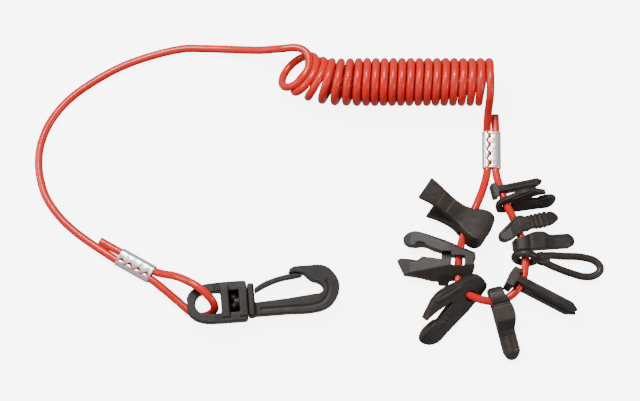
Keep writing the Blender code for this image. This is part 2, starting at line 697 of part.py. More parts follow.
def peg_key(name):
    """Two-leaf key like a clothes peg, with a waist, a broad split head and the cord through its root."""
    plan = (
        (0.0268, -0.0065), (0.0200, -0.0055, "smooth"), (0.0150, -0.0049, "smooth"), (0.0100, -0.0047, "smooth"),
        (0.0050, -0.0052, "smooth"), (0.0010, -0.0064, "smooth"), (-0.0030, -0.0080, "smooth"),
        (-0.0078, -0.0083, "smooth"), (-0.0102, -0.0066, "smooth"), (-0.0108, 0.0000, "smooth"),
        (-0.0102, 0.0066, "smooth"), (-0.0078, 0.0083, "smooth"), (-0.0030, 0.0080, "smooth"),
        (0.0010, 0.0064, "smooth"), (0.0050, 0.0052, "smooth"), (0.0100, 0.0047, "smooth"),
        (0.0150, 0.0049, "smooth"), (0.0200, 0.0055, "smooth"), (0.0268, 0.0065),
    )
    side = (
        (-0.0115, -0.0046), (-0.0115, 0.0046), (-0.0100, 0.0058, "smooth"), (-0.0060, 0.0063, "smooth"),
        (-0.0010, 0.0057, "smooth"), (0.0040, 0.0050, "smooth"), (0.0100, 0.0060, "smooth"),
        (0.0190, 0.0088, "smooth"), (0.0268, 0.0100), (0.0268, 0.0078), (0.0190, 0.0064, "smooth"),
        (0.0110, 0.0028, "smooth"), (0.0068, 0.0000, "smooth"), (0.0110, -0.0022, "smooth"), (0.0205, -0.0052),
        (0.0205, -0.0076), (0.0120, -0.0058, "smooth"), (0.0050, -0.0052, "smooth"), (-0.0060, -0.0058, "smooth"),
    )
    body = crossed(name, plan, side, 0.03, 0.03)
    split = block("split", (PEG_SPLIT_DEPTH, 0.0300, PEG_SPLIT), (-0.0110, 0.0, 0.0012))
    return rounded(combined(body, split, "DIFFERENCE"), KEY_ROUND)


def station(route, place):
    """Find the route's point nearest a place seen from above, and its direction there."""
    target = Vector((place[0], place[1]))
    best = min(range(1, len(route) - 1), key=lambda index: (route[index].xy - target).length)
    return route[best], (route[best + 1] - route[best - 1]).normalized()


def settled(body, axis, height, outward):
    """Find how far a threaded key turns about its cord, let down from above, to meet the bench."""
    lift = 1.0 if axis.cross(outward).z > 0.0 else -1.0
    vertices = [vertex.co.copy() for vertex in body.data.vertices]

    def lowest(angle):
        turn = Matrix.Rotation(lift * angle, 3, axis)
        return min((turn @ vertex).z for vertex in vertices) + height

    angles = [math.radians(-20.0 + index * 0.25) for index in range(241)]
    clear = [angle for angle in angles if lowest(angle) >= 0.0]
    return lift * (clear[0] if clear else max(angles, key=lowest))


def thread_key(body, route, place, heading, roll, hole_diameter, material):
    """Hang a key on the cord at a place, bore it for the cord and let it down on the bench."""
    hole, axis = station(route, place)
    body.data.transform(Matrix.Rotation(heading, 4, "Z") @ Matrix.Rotation(roll, 4, "X"))
    through = axis.to_track_quat("Z", "Y").to_matrix().to_4x4()
    body = combined(body, rod("bore", hole_diameter, 0.06, through, 16), "DIFFERENCE")
    outward = Vector((math.cos(heading), math.sin(heading), 0.0))
    turn = settled(body, axis, hole.z, outward)
    body.data.transform(Matrix.Rotation(turn, 4, axis))
    body.data.transform(Matrix.Translation(hole))
    return deliver(body, material, hole)


# Name, builder and its own sizes, place on the cord, heading and lean in degrees, cord hole
KEYS = (
    ("slim_fork_key_small", slim_fork, (SMALL_KEY_SCALE,), (0.0522, 0.0389), 14.0, -3.0, KEY_HOLE_DIAMETER),
    (
        "bulb_fork_key_small", bulb_fork, (SMALL_KEY_SCALE, SMALL_HEAD_BACK, SMALL_HEAD_SHIFT, 1.0),
        (0.0547, 0.0312), 11.0, 60.0, KEY_HOLE_DIAMETER,
    ),
    ("ribbed_key", ribbed_key, (), (0.0592, 0.0208), 13.0, 0.0, KEY_HOLE_DIAMETER),
    ("pad_key_small", pad_key, (SMALL_PAD_SCALE, SMALL_PAD_BACK), (0.0624, 0.0120), 6.0, 0.0, KEY_HOLE_DIAMETER),
    ("loop_key", loop_key, (), (0.0631, 0.0045), -8.0, 0.0, KEY_HOLE_DIAMETER),
    ("slim_fork_key_large", slim_fork, (1.0,), (0.0608, -0.0083), -27.5, -11.0, WIDE_HOLE_DIAMETER),
    ("pad_key_large", pad_key, (1.0, 0.0), (0.0503, -0.0171), -76.0, 0.0, WIDE_HOLE_DIAMETER),
    (
        "bulb_fork_key_large", bulb_fork, (1.0, LARGE_HEAD_BACK, LARGE_HEAD_SHIFT, -1.0),
        (0.0341, -0.0134), -137.5, -44.0, LOOSE_HOLE_DIAMETER,
    ),
    ("lug_fork_key", lug_fork, (), (0.0299, 0.0038), 178.0, 0.0, WIDE_HOLE_DIAMETER),
    ("peg_key", peg_key, (), (0.0349, 0.0212), 148.0, 16.0, LOOSE_HOLE_DIAMETER),
)


def main():
    """Build every piece of the lanyard."""
    red = finish_material("red_cord", RED, 0.25, 0.0)
    tin = finish_material("tin", TIN, 0.22, 1.0)
    black = finish_material("black_plastic", BLACK, 0.45, 0.0)
    hook_side = hook_side_route()
    key_side = key_side_route()
    cord_tube("cord_hook_side", smooth_route(hook_side, CORD_STEP, CORD_TURN), CORD_DIAMETER, 2, red)
    cord_tube("cord_key_side", smooth_route(key_side, CORD_STEP, CORD_TURN), CORD_DIAMETER, 2, red)
    make_coil(red)
    make_ferrule("ferrule_hook_side", HOOK_FERRULE_PLACE, HOOK_FERRULE_HEADING, -1.0, tin)
    make_ferrule("ferrule_key_side", KEY_FERRULE_PLACE, KEY_FERRULE_HEADING, -1.0, tin)
    make_frame(black)
    make_hook(black)
    make_gate(black)
    fine = smooth_route(key_side, CORD_DIAMETER / 8, CORD_TURN)
    for name, builder, sizes, place, heading, roll, hole in KEYS:
        body = builder(name, *sizes)
        thread_key(body, fine, place, math.radians(heading), math.radians(roll), hole, black)


main()
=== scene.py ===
"""Looks of the kill switch lanyard: glossy red cord, pressed sleeves, a swivel hook and ten moulded keys.

Everything is in metres in the row frame: +X from the hook to the keys, +Z up, the bench at z = 0.
"""

import json
import logging
import math
from dataclasses import dataclass
from enum import Enum

import bmesh
import bpy
from mathutils import Matrix, Vector
from mathutils.geometry import interpolate_bezier

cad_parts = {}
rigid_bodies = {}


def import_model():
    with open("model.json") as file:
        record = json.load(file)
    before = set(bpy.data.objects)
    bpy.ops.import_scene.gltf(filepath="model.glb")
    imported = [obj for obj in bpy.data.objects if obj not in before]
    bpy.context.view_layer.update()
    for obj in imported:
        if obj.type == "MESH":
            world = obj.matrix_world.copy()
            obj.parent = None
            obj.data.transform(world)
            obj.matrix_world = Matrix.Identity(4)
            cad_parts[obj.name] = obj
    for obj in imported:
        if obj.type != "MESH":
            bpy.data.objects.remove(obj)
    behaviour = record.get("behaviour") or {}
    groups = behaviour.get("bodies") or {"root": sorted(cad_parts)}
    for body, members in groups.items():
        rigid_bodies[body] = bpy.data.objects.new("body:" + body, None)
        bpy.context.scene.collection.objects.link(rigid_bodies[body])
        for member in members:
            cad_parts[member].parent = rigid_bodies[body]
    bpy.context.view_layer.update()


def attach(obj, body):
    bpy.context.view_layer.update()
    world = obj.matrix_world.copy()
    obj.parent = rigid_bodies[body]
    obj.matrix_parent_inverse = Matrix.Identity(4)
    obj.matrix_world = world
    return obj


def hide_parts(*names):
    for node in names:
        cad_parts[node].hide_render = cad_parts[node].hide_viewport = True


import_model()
LOG = logging.getLogger("lanyard")

Point = tuple[float, ...]
Colour = tuple[float, float, float]

MIDDLE = Vector((0.0008, 0.0003, 0.0))
ROOT_BODY = "lanyard"
ALONG_X = Matrix.Rotation(math.radians(90.0), 4, "Y")
SIDE_VIEW = Matrix.Rotation(math.radians(90.0), 4, "X")


# Shader maths


class Value:
    """One number that varies over a surface, written in sums like any other number."""

    def __init__(self, tree: bpy.types.NodeTree, socket: bpy.types.NodeSocket) -> None:
        """Keep the socket.

        Args:
            tree: Node tree that the socket is in.
            socket: Output socket that gives the number.
        """
        self.tree = tree
        self.socket = socket

    def _sum(self, operation: str, first: "Value | float", second: "Value | float") -> "Value":
        """Add a Math node.

        Args:
            operation: The node's operation.
            first: First number.
            second: Second number.

        Returns:
            The node's result.
        """
        node = self.tree.nodes.new("ShaderNodeMath")
        node.operation = operation
        for socket, number in zip(node.inputs, (first, second)):
            if isinstance(number, Value):
                self.tree.links.new(number.socket, socket)
            else:
                socket.default_value = number
        return Value(self.tree, node.outputs[0])

    def __add__(self, other: "Value | float") -> "Value":
        """Add."""
        return self._sum("ADD", self, other)

    __radd__ = __add__

    def __sub__(self, other: "Value | float") -> "Value":
        """Subtract."""
        return self._sum("SUBTRACT", self, other)

    def __mul__(self, other: "Value | float") -> "Value":
        """Multiply."""
        return self._sum("MULTIPLY", self, other)

    def __truediv__(self, other: "Value | float") -> "Value":
        """Divide."""
        return self._sum("DIVIDE", self, other)

    def above(self, limit: float, softness: float) -> "Value":
        """Rise from 0 to 1 as the number passes a limit.

        Args:
            limit: Where the rise starts.
            softness: How far it takes.

        Returns:
            A number from 0 to 1.
        """
        rise = (self - limit) / softness
        return self._sum("MINIMUM", self._sum("MAXIMUM", rise, 0.0), 1.0)


class Surface:
    """One material and its node tree."""

    def __init__(self, name: str) -> None:
        """Start a material with its Principled shader.

        Args:
            name: Name of the material.
        """
        self.material = bpy.data.materials.new(name)
        self.material.use_nodes = True
        self.tree = self.material.node_tree
        self.shader = self.tree.nodes["Principled BSDF"]

    def node(self, kind: str, settings: dict[str, object], inputs: dict[str, object]) -> bpy.types.Node:
        """Add a node, set its options first and then its sockets.

        Args:
            kind: Node type.
            settings: Options of the node. "stops" gives a colour ramp's (position, colour) pairs.
            inputs: Socket name to a number, a colour, a Value or an output socket.

        Returns:
            The node.
        """
        node = self.tree.nodes.new(kind)
        for key, setting in settings.items():
            if key == "stops":
                ramp = node.color_ramp
                while len(ramp.elements) < len(setting):
                    ramp.elements.new(0.5)
                for element, (position, colour) in zip(ramp.elements, setting):
                    element.position = position
                    element.color = (*colour, 1.0)
            else:
                setattr(node, key, setting)
        for key, source in inputs.items():
            self.feed(node.inputs[key], source)
        return node

    def feed(self, socket: bpy.types.NodeSocket, source: object) -> None:
        """Link a socket, or set it where the source is a plain number or colour.

        Args:
            socket: Input socket.
            source: Value, output socket, number or colour.
        """
        if isinstance(source, Value):
            self.tree.links.new(source.socket, socket)
        elif isinstance(source, bpy.types.NodeSocket):
            self.tree.links.new(source, socket)
        elif isinstance(source, tuple) and len(source) == 3 and len(socket.default_value) == 4:
            socket.default_value = (*source, 1.0)
        else:
            socket.default_value = source

    def place(self) -> bpy.types.NodeSocket:
        """Give the place on the piece in the row frame."""
        return self.node("ShaderNodeTexCoord", {}, {}).outputs["Object"]

    def stretched(
        self, place: bpy.types.NodeSocket, scale: Point, turn: Point = (0.0, 0.0, 0.0)
    ) -> bpy.types.NodeSocket:
        """Stretch and turn a place before a pattern reads it.

        Args:
            place: Vector socket.
            scale: Factor along each axis.
            turn: Rotation in radians.

        Returns:
            The new vector socket.
        """
        inputs = {"Vector": place, "Scale": scale, "Rotation": turn}
        return self.node("ShaderNodeMapping", {}, inputs).outputs["Vector"]

    def noise(
        self, place: bpy.types.NodeSocket, scale: float, detail: float = 3.0, distortion: float = 0.0
    ) -> Value:
        """Give smooth noise from 0 to 1.

        Args:
            place: Vector socket that the noise reads.
            scale: Cells per metre.
            detail: Number of finer layers.
            distortion: How far the cells are pulled about.

        Returns:
            The noise.
        """
        inputs = {"Vector": place, "Scale": scale, "Detail": detail, "Distortion": distortion}
        return Value(self.tree, self.node("ShaderNodeTexNoise", {}, inputs).outputs[0])

    def mixed(self, factor: Value, first: object, second: object) -> bpy.types.NodeSocket:
        """Mix two colours.

        Args:
            factor: 0 gives the first and 1 the second.
            first: Colour or colour socket.
            second: Colour or colour socket.

        Returns:
            Colour socket.
        """
        node = self.node("ShaderNodeMix", {"data_type": "RGBA", "clamp_factor": True}, {})
        self.feed(node.inputs[0], factor)
        self.feed(node.inputs[6], first)
        self.feed(node.inputs[7], second)
        return node.outputs[2]

    def relief(self, height: Value, distance: float, strength: float = 1.0) -> bpy.types.NodeSocket:
        """Turn a height into a bumped normal.

        Args:
            height: Height from 0 to 1.
            distance: Height of 1, in metres.
            strength: Strength of the bump.

        Returns:
            Normal socket.
        """
        inputs = {"Height": height, "Distance": distance, "Strength": strength}
        return self.node("ShaderNodeBump", {}, inputs).outputs["Normal"]

    def finish(self, constants: dict[str, object], varying: dict[str, object]) -> bpy.types.Material:
        """Set what is the same all over and link what changes.

        Args:
            constants: Shader socket to a number or colour.
            varying: Shader socket to a Value or socket.

        Returns:
            The finished material.
        """
        for key, setting in {**constants, **varying}.items():
            self.feed(self.shader.inputs[key], setting)
        return self.material


class Sheen(Enum):
    """How a moulded black piece came out of its mould."""

    SATIN = 0.42
    SMOOTH = 0.34


@dataclass(frozen=True)
class MouldedNylon:
    """Black nylon with a warm cast and faint flow marks, lighter patches that are partly wear and partly
    painted sheen, and lighter convex edges that are partly edge wear and partly painted highlight.
    """

    name: str
    sheen: Sheen = Sheen.SATIN
    colour: Colour = (0.026, 0.0205, 0.0172)
    # Lighter colour of the patches: partly wear, partly a painted sheen.
    rubbed_and_painted_sheen: Colour = (0.060, 0.049, 0.042)
    # Lighter colour along convex edges: partly edge wear, partly a painted highlight.
    edge: Colour = (0.125, 0.102, 0.088)
    grain: float = 0.00002
    ior: float = 1.38
    # Where convex edges start to take the lighter colour, which is partly edge wear and partly a painted
    # highlight.
    edge_wear_and_highlight_limit: float = 0.66
    edge_wear_and_highlight_softness: float = 0.06
    slot: str = "black_plastic"

    def material(self) -> bpy.types.Material:
        """Build the finish.

        Returns:
            The material.
        """
        surface = Surface(self.name)
        place = surface.place()
        flow = surface.noise(surface.stretched(place, (1.0, 2.4, 1.6)), 85.0, 4.0, 0.6)
        patches = surface.noise(place, 240.0, 3.0)
        pores = surface.noise(place, 5200.0, 2.0)
        scuffs = surface.noise(surface.stretched(place, (1.0, 9.0, 3.0), (0.2, 0.1, 0.6)), 420.0, 5.0, 0.4)
        # Lighter patches from flow marks and cloudy noise: partly wear, partly a painted sheen.
        rubbed_and_painted_sheen = (flow * 0.65 + patches * 0.35).above(0.46, 0.22)
        scratched = scuffs.above(0.60, 0.07)
        # Convex edges get lighter: partly edge wear, partly a painted highlight along them.
        pointiness = surface.node("ShaderNodeNewGeometry", {}, {}).outputs["Pointiness"]
        edges = Value(surface.tree, pointiness).above(self.edge_wear_and_highlight_limit, self.edge_wear_and_highlight_softness)
        # The worn colour mixes in these lighter patches, so it carries painted sheen as well as wear.
        worn = surface.mixed(rubbed_and_painted_sheen * 0.55 + scratched * 0.25, self.colour, self.rubbed_and_painted_sheen)
        colour = surface.mixed(edges * (0.35 + patches * 0.5), worn, self.edge)
        roughness = self.sheen.value + (flow - 0.5) * 0.22 + (pores - 0.5) * 0.10 + scratched * 0.08
        normal = surface.relief(pores * 0.7 + patches * 0.9 + scratched * 0.3, self.grain * 4.0, 0.55)
        return surface.finish(
            {"IOR": self.ior, "Specular IOR Level": 0.5},
            {"Base Color": colour, "Roughness": roughness, "Normal": normal},
        )


@dataclass(frozen=True)
class GlossyCord:
    """Extruded red polyurethane: clear gloss over a deep colour, with faint draw lines along the cord."""

    name: str = "red_polyurethane"
    colour: Colour = (0.66, 0.016, 0.010)
    pale: Colour = (0.80, 0.040, 0.024)
    slot: str = "red_cord"

    def material(self) -> bpy.types.Material:
        """Build the finish.

        Returns:
            The material.
        """
        surface = Surface(self.name)
        place = surface.place()
        round_cord = surface.node("ShaderNodeUVMap", {"uv_map": "UVMap"}, {}).outputs["UV"]
        lines = surface.noise(surface.stretched(round_cord, (6.0, 26.0, 1.0)), 1.0, 3.0)
        cloud = surface.noise(place, 70.0, 3.0)
        orange_peel = surface.noise(place, 900.0, 2.0)
        colour = surface.mixed((cloud - 0.32) * 0.9, self.colour, self.pale)
        roughness = 0.25 + (cloud - 0.5) * 0.10 + (lines - 0.5) * 0.12
        normal = surface.relief(lines * 0.5 + orange_peel * 0.5, 0.00005, 0.5)
        return surface.finish(
            {
                "IOR": 1.42, "Coat Roughness": 0.16, "Coat IOR": 1.40, "Subsurface Weight": 0.08,
                "Subsurface Radius": (0.003, 0.0005, 0.0003), "Subsurface Scale": 0.5,
            },
            {
                "Base Color": colour, "Roughness": roughness, "Normal": normal,
                "Coat Weight": 0.22 + (cloud - 0.5) * 0.2,
            },
        )


@dataclass(frozen=True)
class PressedTin:
    """Bright tinned sheet, with press marks along the sleeve and a few scratches."""

    name: str = "pressed_tin"
    colour: Colour = (0.95, 0.94, 0.93)
    worn: Colour = (0.72, 0.70, 0.68)
    heading: float = 0.0
    slot: str = "ferrule_metal"

    def material(self) -> bpy.types.Material:
        """Build the finish.

        Returns:
            The material.
        """
        surface = Surface(self.name)
        place = surface.place()
        along = surface.stretched(place, (1.0, 1.0, 1.0), (0.0, 0.0, -self.heading))
        brushed = surface.noise(surface.stretched(along, (1.0, 14.0, 6.0)), 420.0, 4.0)
        cloud = surface.noise(place, 380.0, 3.0, 0.5)
        scratched = surface.stretched(place, (1.0, 7.0, 2.0), (0.0, 0.3, 0.9))
        scratches = surface.noise(scratched, 700.0, 4.0).above(0.62, 0.05)
        colour = surface.mixed(cloud.above(0.52, 0.2) * 0.5 + scratches * 0.4, self.colour, self.worn)
        roughness = 0.22 + (brushed - 0.5) * 0.16 + cloud * 0.08 + scratches * 0.15
        normal = surface.relief(brushed * 0.7 + cloud * 0.3, 0.000012, 0.5)
        varying = {"Base Color": colour, "Roughness": roughness, "Normal": normal}
        return surface.finish({"Metallic": 0.8}, varying)


@dataclass(frozen=True)
class BenchPaper:
    """White paper sweep under the lanyard."""

    name: str = "white_paper"
    colour: Colour = (0.93, 0.93, 0.93)
    glow: float = 6.0

    def material(self) -> bpy.types.Material:
        """Build the finish.

        Returns:
            The material.
        """
        surface = Surface(self.name)
        fibre = surface.noise(surface.place(), 300.0, 4.0)
        tone = surface.mixed(fibre * 0.3, self.colour, (0.90, 0.90, 0.90))
        constants = {"Roughness": 0.8, "Emission Color": (1.0, 1.0, 1.0), "Emission Strength": self.glow}
        return surface.finish(constants, {"Base Color": tone})


# Solid shapes


class Mould:
    """Makes closed solids and joins, cuts and softens them into one moulded piece."""

    SCRATCH = "moulding"
    DOUBLES = 0.000003
    SLIVERS = 0.000002
    SLICER = (0.2, 0.2, 0.1)

    @classmethod
    def bench(cls) -> bpy.types.Collection:
        """Give the collection that unfinished shapes are in."""
        held = bpy.data.collections.get(cls.SCRATCH)
        if held is None:
            held = bpy.data.collections.new(cls.SCRATCH)
            bpy.context.scene.collection.children.link(held)
        return held

    @classmethod
    def thing(cls, name: str, data: bpy.types.ID) -> bpy.types.Object:
        """Put new data on an object.

        Args:
            name: Name of the object.
            data: Mesh or curve.

        Returns:
            The object.
        """
        made = bpy.data.objects.new(name, data)
        cls.bench().objects.link(made)
        return made

    @classmethod
    def shaped(cls, name: str, solid: bmesh.types.BMesh) -> bpy.types.Object:
        """Keep a shape as an object.

        Args:
            name: Name of the object and its mesh.
            solid: Shape, which is used up.

        Returns:
            The object.
        """
        mesh = bpy.data.meshes.new(name)
        solid.to_mesh(mesh)
        solid.free()
        return cls.thing(name, mesh)

    @classmethod
    def bevelled(
        cls, body: bpy.types.Object, width: float, segments: int, sharper_than: float | None = None
    ) -> bpy.types.Object:
        """Bevel the edges of a body.

        Args:
            body: Body to bevel.
            width: Width of the bevel.
            segments: Segments across it.
            sharper_than: Least angle of an edge in degrees, or None for the modifier's own.

        Returns:
            The bevelled body.
        """
        bevel = body.modifiers.new("bevel", "BEVEL")
        bevel.width = width
        bevel.segments = segments
        if sharper_than is not None:
            bevel.limit_method = "ANGLE"
            bevel.angle_limit = math.radians(sharper_than)
        return cls.settled(body)

    @classmethod
    def settled(cls, thing: bpy.types.Object) -> bpy.types.Object:
        """Turn an object with modifiers or a curve into a plain closed mesh.

        Args:
            thing: Object to replace.

        Returns:
            The plain mesh object.
        """
        bpy.context.view_layer.update()
        seen = thing.evaluated_get(bpy.context.evaluated_depsgraph_get())
        mesh = bpy.data.meshes.new_from_object(seen)
        mesh.transform(thing.matrix_world)
        name = thing.name
        bpy.data.objects.remove(thing, do_unlink=True)
        return cls.thing(name, mesh)

    @classmethod
    def welded(cls, thing: bpy.types.Object) -> bpy.types.Object:
        """Merge doubles and point the faces outwards.

        Args:
            thing: Mesh object.

        Returns:
            The same object.
        """
        solid = bmesh.new()
        solid.from_mesh(thing.data)
        bmesh.ops.remove_doubles(solid, verts=solid.verts, dist=cls.DOUBLES)
        bmesh.ops.dissolve_degenerate(solid, edges=solid.edges, dist=cls.SLIVERS)
        bmesh.ops.recalc_face_normals(solid, faces=solid.faces)
        solid.to_mesh(thing.data)
        solid.free()
        return thing

    @classmethod
    def outline(
        cls, points: tuple[Point, ...], thickness: float, turn: Matrix = Matrix.Identity(4),
        resolution: int = 10,
    ) -> bpy.types.Object:
        """Extrude a flat outline by half its thickness each way.

        Args:
            points: (x, y) for a corner or (x, y, "smooth") for a smooth point.
            thickness: Full thickness.
            turn: Matrix that turns the flat shape into place.
            resolution: Segments from one point to the next.

        Returns:
            A closed solid.
        """
        curve = bpy.data.curves.new("outline", "CURVE")
        curve.dimensions = "2D"
        curve.fill_mode = "BOTH"
        curve.extrude = thickness / 2
        curve.resolution_u = resolution
        spline = curve.splines.new("BEZIER")
        spline.bezier_points.add(len(points) - 1)
        for knot, point in zip(spline.bezier_points, points):
            kind = "AUTO" if len(point) > 2 else "VECTOR"
            knot.co = (point[0], point[1], 0.0)
            knot.handle_left_type = kind
            knot.handle_right_type = kind
        spline.use_cyclic_u = True
        solid = cls.welded(cls.settled(cls.thing("outline", curve)))
        solid.data.transform(turn)
        return solid

    @classmethod
    def block(cls, size: Point, centre: Point, turn: Matrix = Matrix.Identity(4)) -> bpy.types.Object:
        """Make a box.

        Args:
            size: Lengths along the axes.
            centre: Middle of the box.
            turn: Matrix applied after it is in place.

        Returns:
            A closed solid.
        """
        solid = bmesh.new()
        bmesh.ops.create_cube(solid, size=1.0)
        bmesh.ops.scale(solid, verts=solid.verts, vec=size)
        bmesh.ops.translate(solid, verts=solid.verts, vec=centre)
        bmesh.ops.transform(solid, verts=solid.verts, matrix=turn)
        return cls.shaped("block", solid)

    @classmethod
    def rod(cls, diameter: float, length: float, place: Matrix, sides: int = 48) -> bpy.types.Object:
        """Make a cylinder along the place's own Z axis.

        Args:
            diameter: Diameter.
            length: Length.
            place: Matrix that puts it in place.
            sides: Number of sides.

        Returns:
            A closed solid.
        """
        solid = bmesh.new()
        bmesh.ops.create_cone(
            solid, cap_ends=True, segments=sides, radius1=diameter / 2, radius2=diameter / 2, depth=length
        )
        bmesh.ops.transform(solid, verts=solid.verts, matrix=place)
        return cls.shaped("rod", solid)

    @classmethod
    def ball(cls, size: Point, centre: Point) -> bpy.types.Object:
        """Make an ellipsoid.

        Args:
            size: Diameters along the axes.
            centre: Its middle.

        Returns:
            A closed solid.
        """
        solid = bmesh.new()
        bmesh.ops.create_uvsphere(solid, u_segments=32, v_segments=20, radius=0.5)
        bmesh.ops.scale(solid, verts=solid.verts, vec=size)
        bmesh.ops.translate(solid, verts=solid.verts, vec=centre)
        return cls.shaped("ball", solid)

    @classmethod
    def bent_rod(cls, knots: tuple[Point, ...], diameter: float, closed: bool) -> bpy.types.Object:
        """Sweep a round rod along a smooth line.

        Args:
            knots: Points of the line.
            diameter: Diameter of the rod.
            closed: Whether the line is a loop.

        Returns:
            A closed solid.
        """
        curve = bpy.data.curves.new("bent_rod", "CURVE")
        curve.dimensions = "3D"
        curve.bevel_depth = diameter / 2
        curve.bevel_resolution = 8
        curve.resolution_u = 16
        curve.use_fill_caps = True
        spline = curve.splines.new("BEZIER")
        spline.bezier_points.add(len(knots) - 1)
        for knot, point in zip(spline.bezier_points, knots):
            knot.co = point
            knot.handle_left_type = "AUTO"
            knot.handle_right_type = "AUTO"
        spline.use_cyclic_u = closed
        return cls.welded(cls.settled(cls.thing("bent_rod", curve)))

    @classmethod
    def change(cls, body: bpy.types.Object, tool: bpy.types.Object, operation: str) -> bpy.types.Object:
        """Cut a body with a tool, or keep what both share.

        Args:
            body: Solid to change.
            tool: Other solid, which is used up.
            operation: DIFFERENCE, INTERSECT or UNION.

        Returns:
            The changed solid.
        """
        modifier = body.modifiers.new("change", "BOOLEAN")
        modifier.operation = operation
        modifier.solver = "EXACT"
        modifier.object = tool
        result = cls.settled(body)
        bpy.data.objects.remove(tool, do_unlink=True)
        return result

    @classmethod
    def crossed(
        cls, plan: tuple[Point, ...], side: tuple[Point, ...], width: float, height: float
    ) -> bpy.types.Object:
        """Keep what a plan outline and a side outline share.

        Args:
            plan: Outline seen from above.
            side: Outline seen from the side.
            width: Width of the side outline's solid.
            height: Height of the plan outline's solid.

        Returns:
            A closed solid.
        """
        return cls.change(cls.outline(plan, height), cls.outline(side, width, SIDE_VIEW), "INTERSECT")

    @classmethod
    def scored(
        cls, body: bpy.types.Object, start: Point, end: Point, width: float, depth: float
    ) -> bpy.types.Object:
        """Cut a straight groove, centred on a line that lies on the surface.

        Args:
            body: Solid to cut.
            start: One end of the line.
            end: Other end of the line.
            width: Width of the groove.
            depth: Depth and height of the cutter about the line.

        Returns:
            The cut solid.
        """
        line = Vector(end) - Vector(start)
        turn = line.to_track_quat("X", "Z").to_matrix().to_4x4()
        place = Matrix.Translation((Vector(start) + Vector(end)) / 2) @ turn
        return cls.change(body, cls.block((line.length, width, depth), (0.0, 0.0, 0.0), place), "DIFFERENCE")

    @classmethod
    def sliced(cls, body: bpy.types.Object, edge: Point, slope: Point, run: float) -> bpy.types.Object:
        """Cut off what lies beyond a sloping plane.

        Args:
            body: Solid to cut.
            edge: Point on the edge where the slope starts.
            slope: How far the slope falls and how far out it goes.
            run: How far the edge goes sideways for each unit along X.

        Returns:
            The cut solid.
        """
        along = Vector((1.0, run, 0.0)).normalized()
        normal = along.cross(Vector((0.0, slope[1], -slope[0])).normalized())
        if normal.z < 0.0:
            normal = -normal
        place = Matrix.Translation(edge) @ normal.to_track_quat("Z", "Y").to_matrix().to_4x4()
        return cls.change(body, cls.block(cls.SLICER, (0.0, 0.0, cls.SLICER[2] / 2), place), "DIFFERENCE")

    @classmethod
    def together(cls, name: str, solids: list[bpy.types.Object]) -> bpy.types.Object:
        """Put solids in one mesh, to be fused by softening.

        Args:
            name: Name of the new object.
            solids: Solids, which are used up.

        Returns:
            One object.
        """
        joint = bmesh.new()
        for solid in solids:
            joint.from_mesh(solid.data)
            bpy.data.objects.remove(solid, do_unlink=True)
        return cls.shaped(name, joint)

    @classmethod
    def softened(cls, body: bpy.types.Object, voxel: float, passes: int) -> bpy.types.Object:
        """Fuse the solids of a body and round its edges as a mould does.

        Args:
            body: Body to soften.
            voxel: Size of the surface cells.
            passes: Rounds of smoothing.

        Returns:
            The smooth body.
        """
        fuse = body.modifiers.new("fuse", "REMESH")
        fuse.mode = "VOXEL"
        fuse.voxel_size = voxel
        fuse.use_smooth_shade = True
        soften = body.modifiers.new("soften", "SMOOTH")
        soften.factor = 0.5
        soften.iterations = passes
        result = cls.settled(body)
        result.data.shade_smooth()
        return result


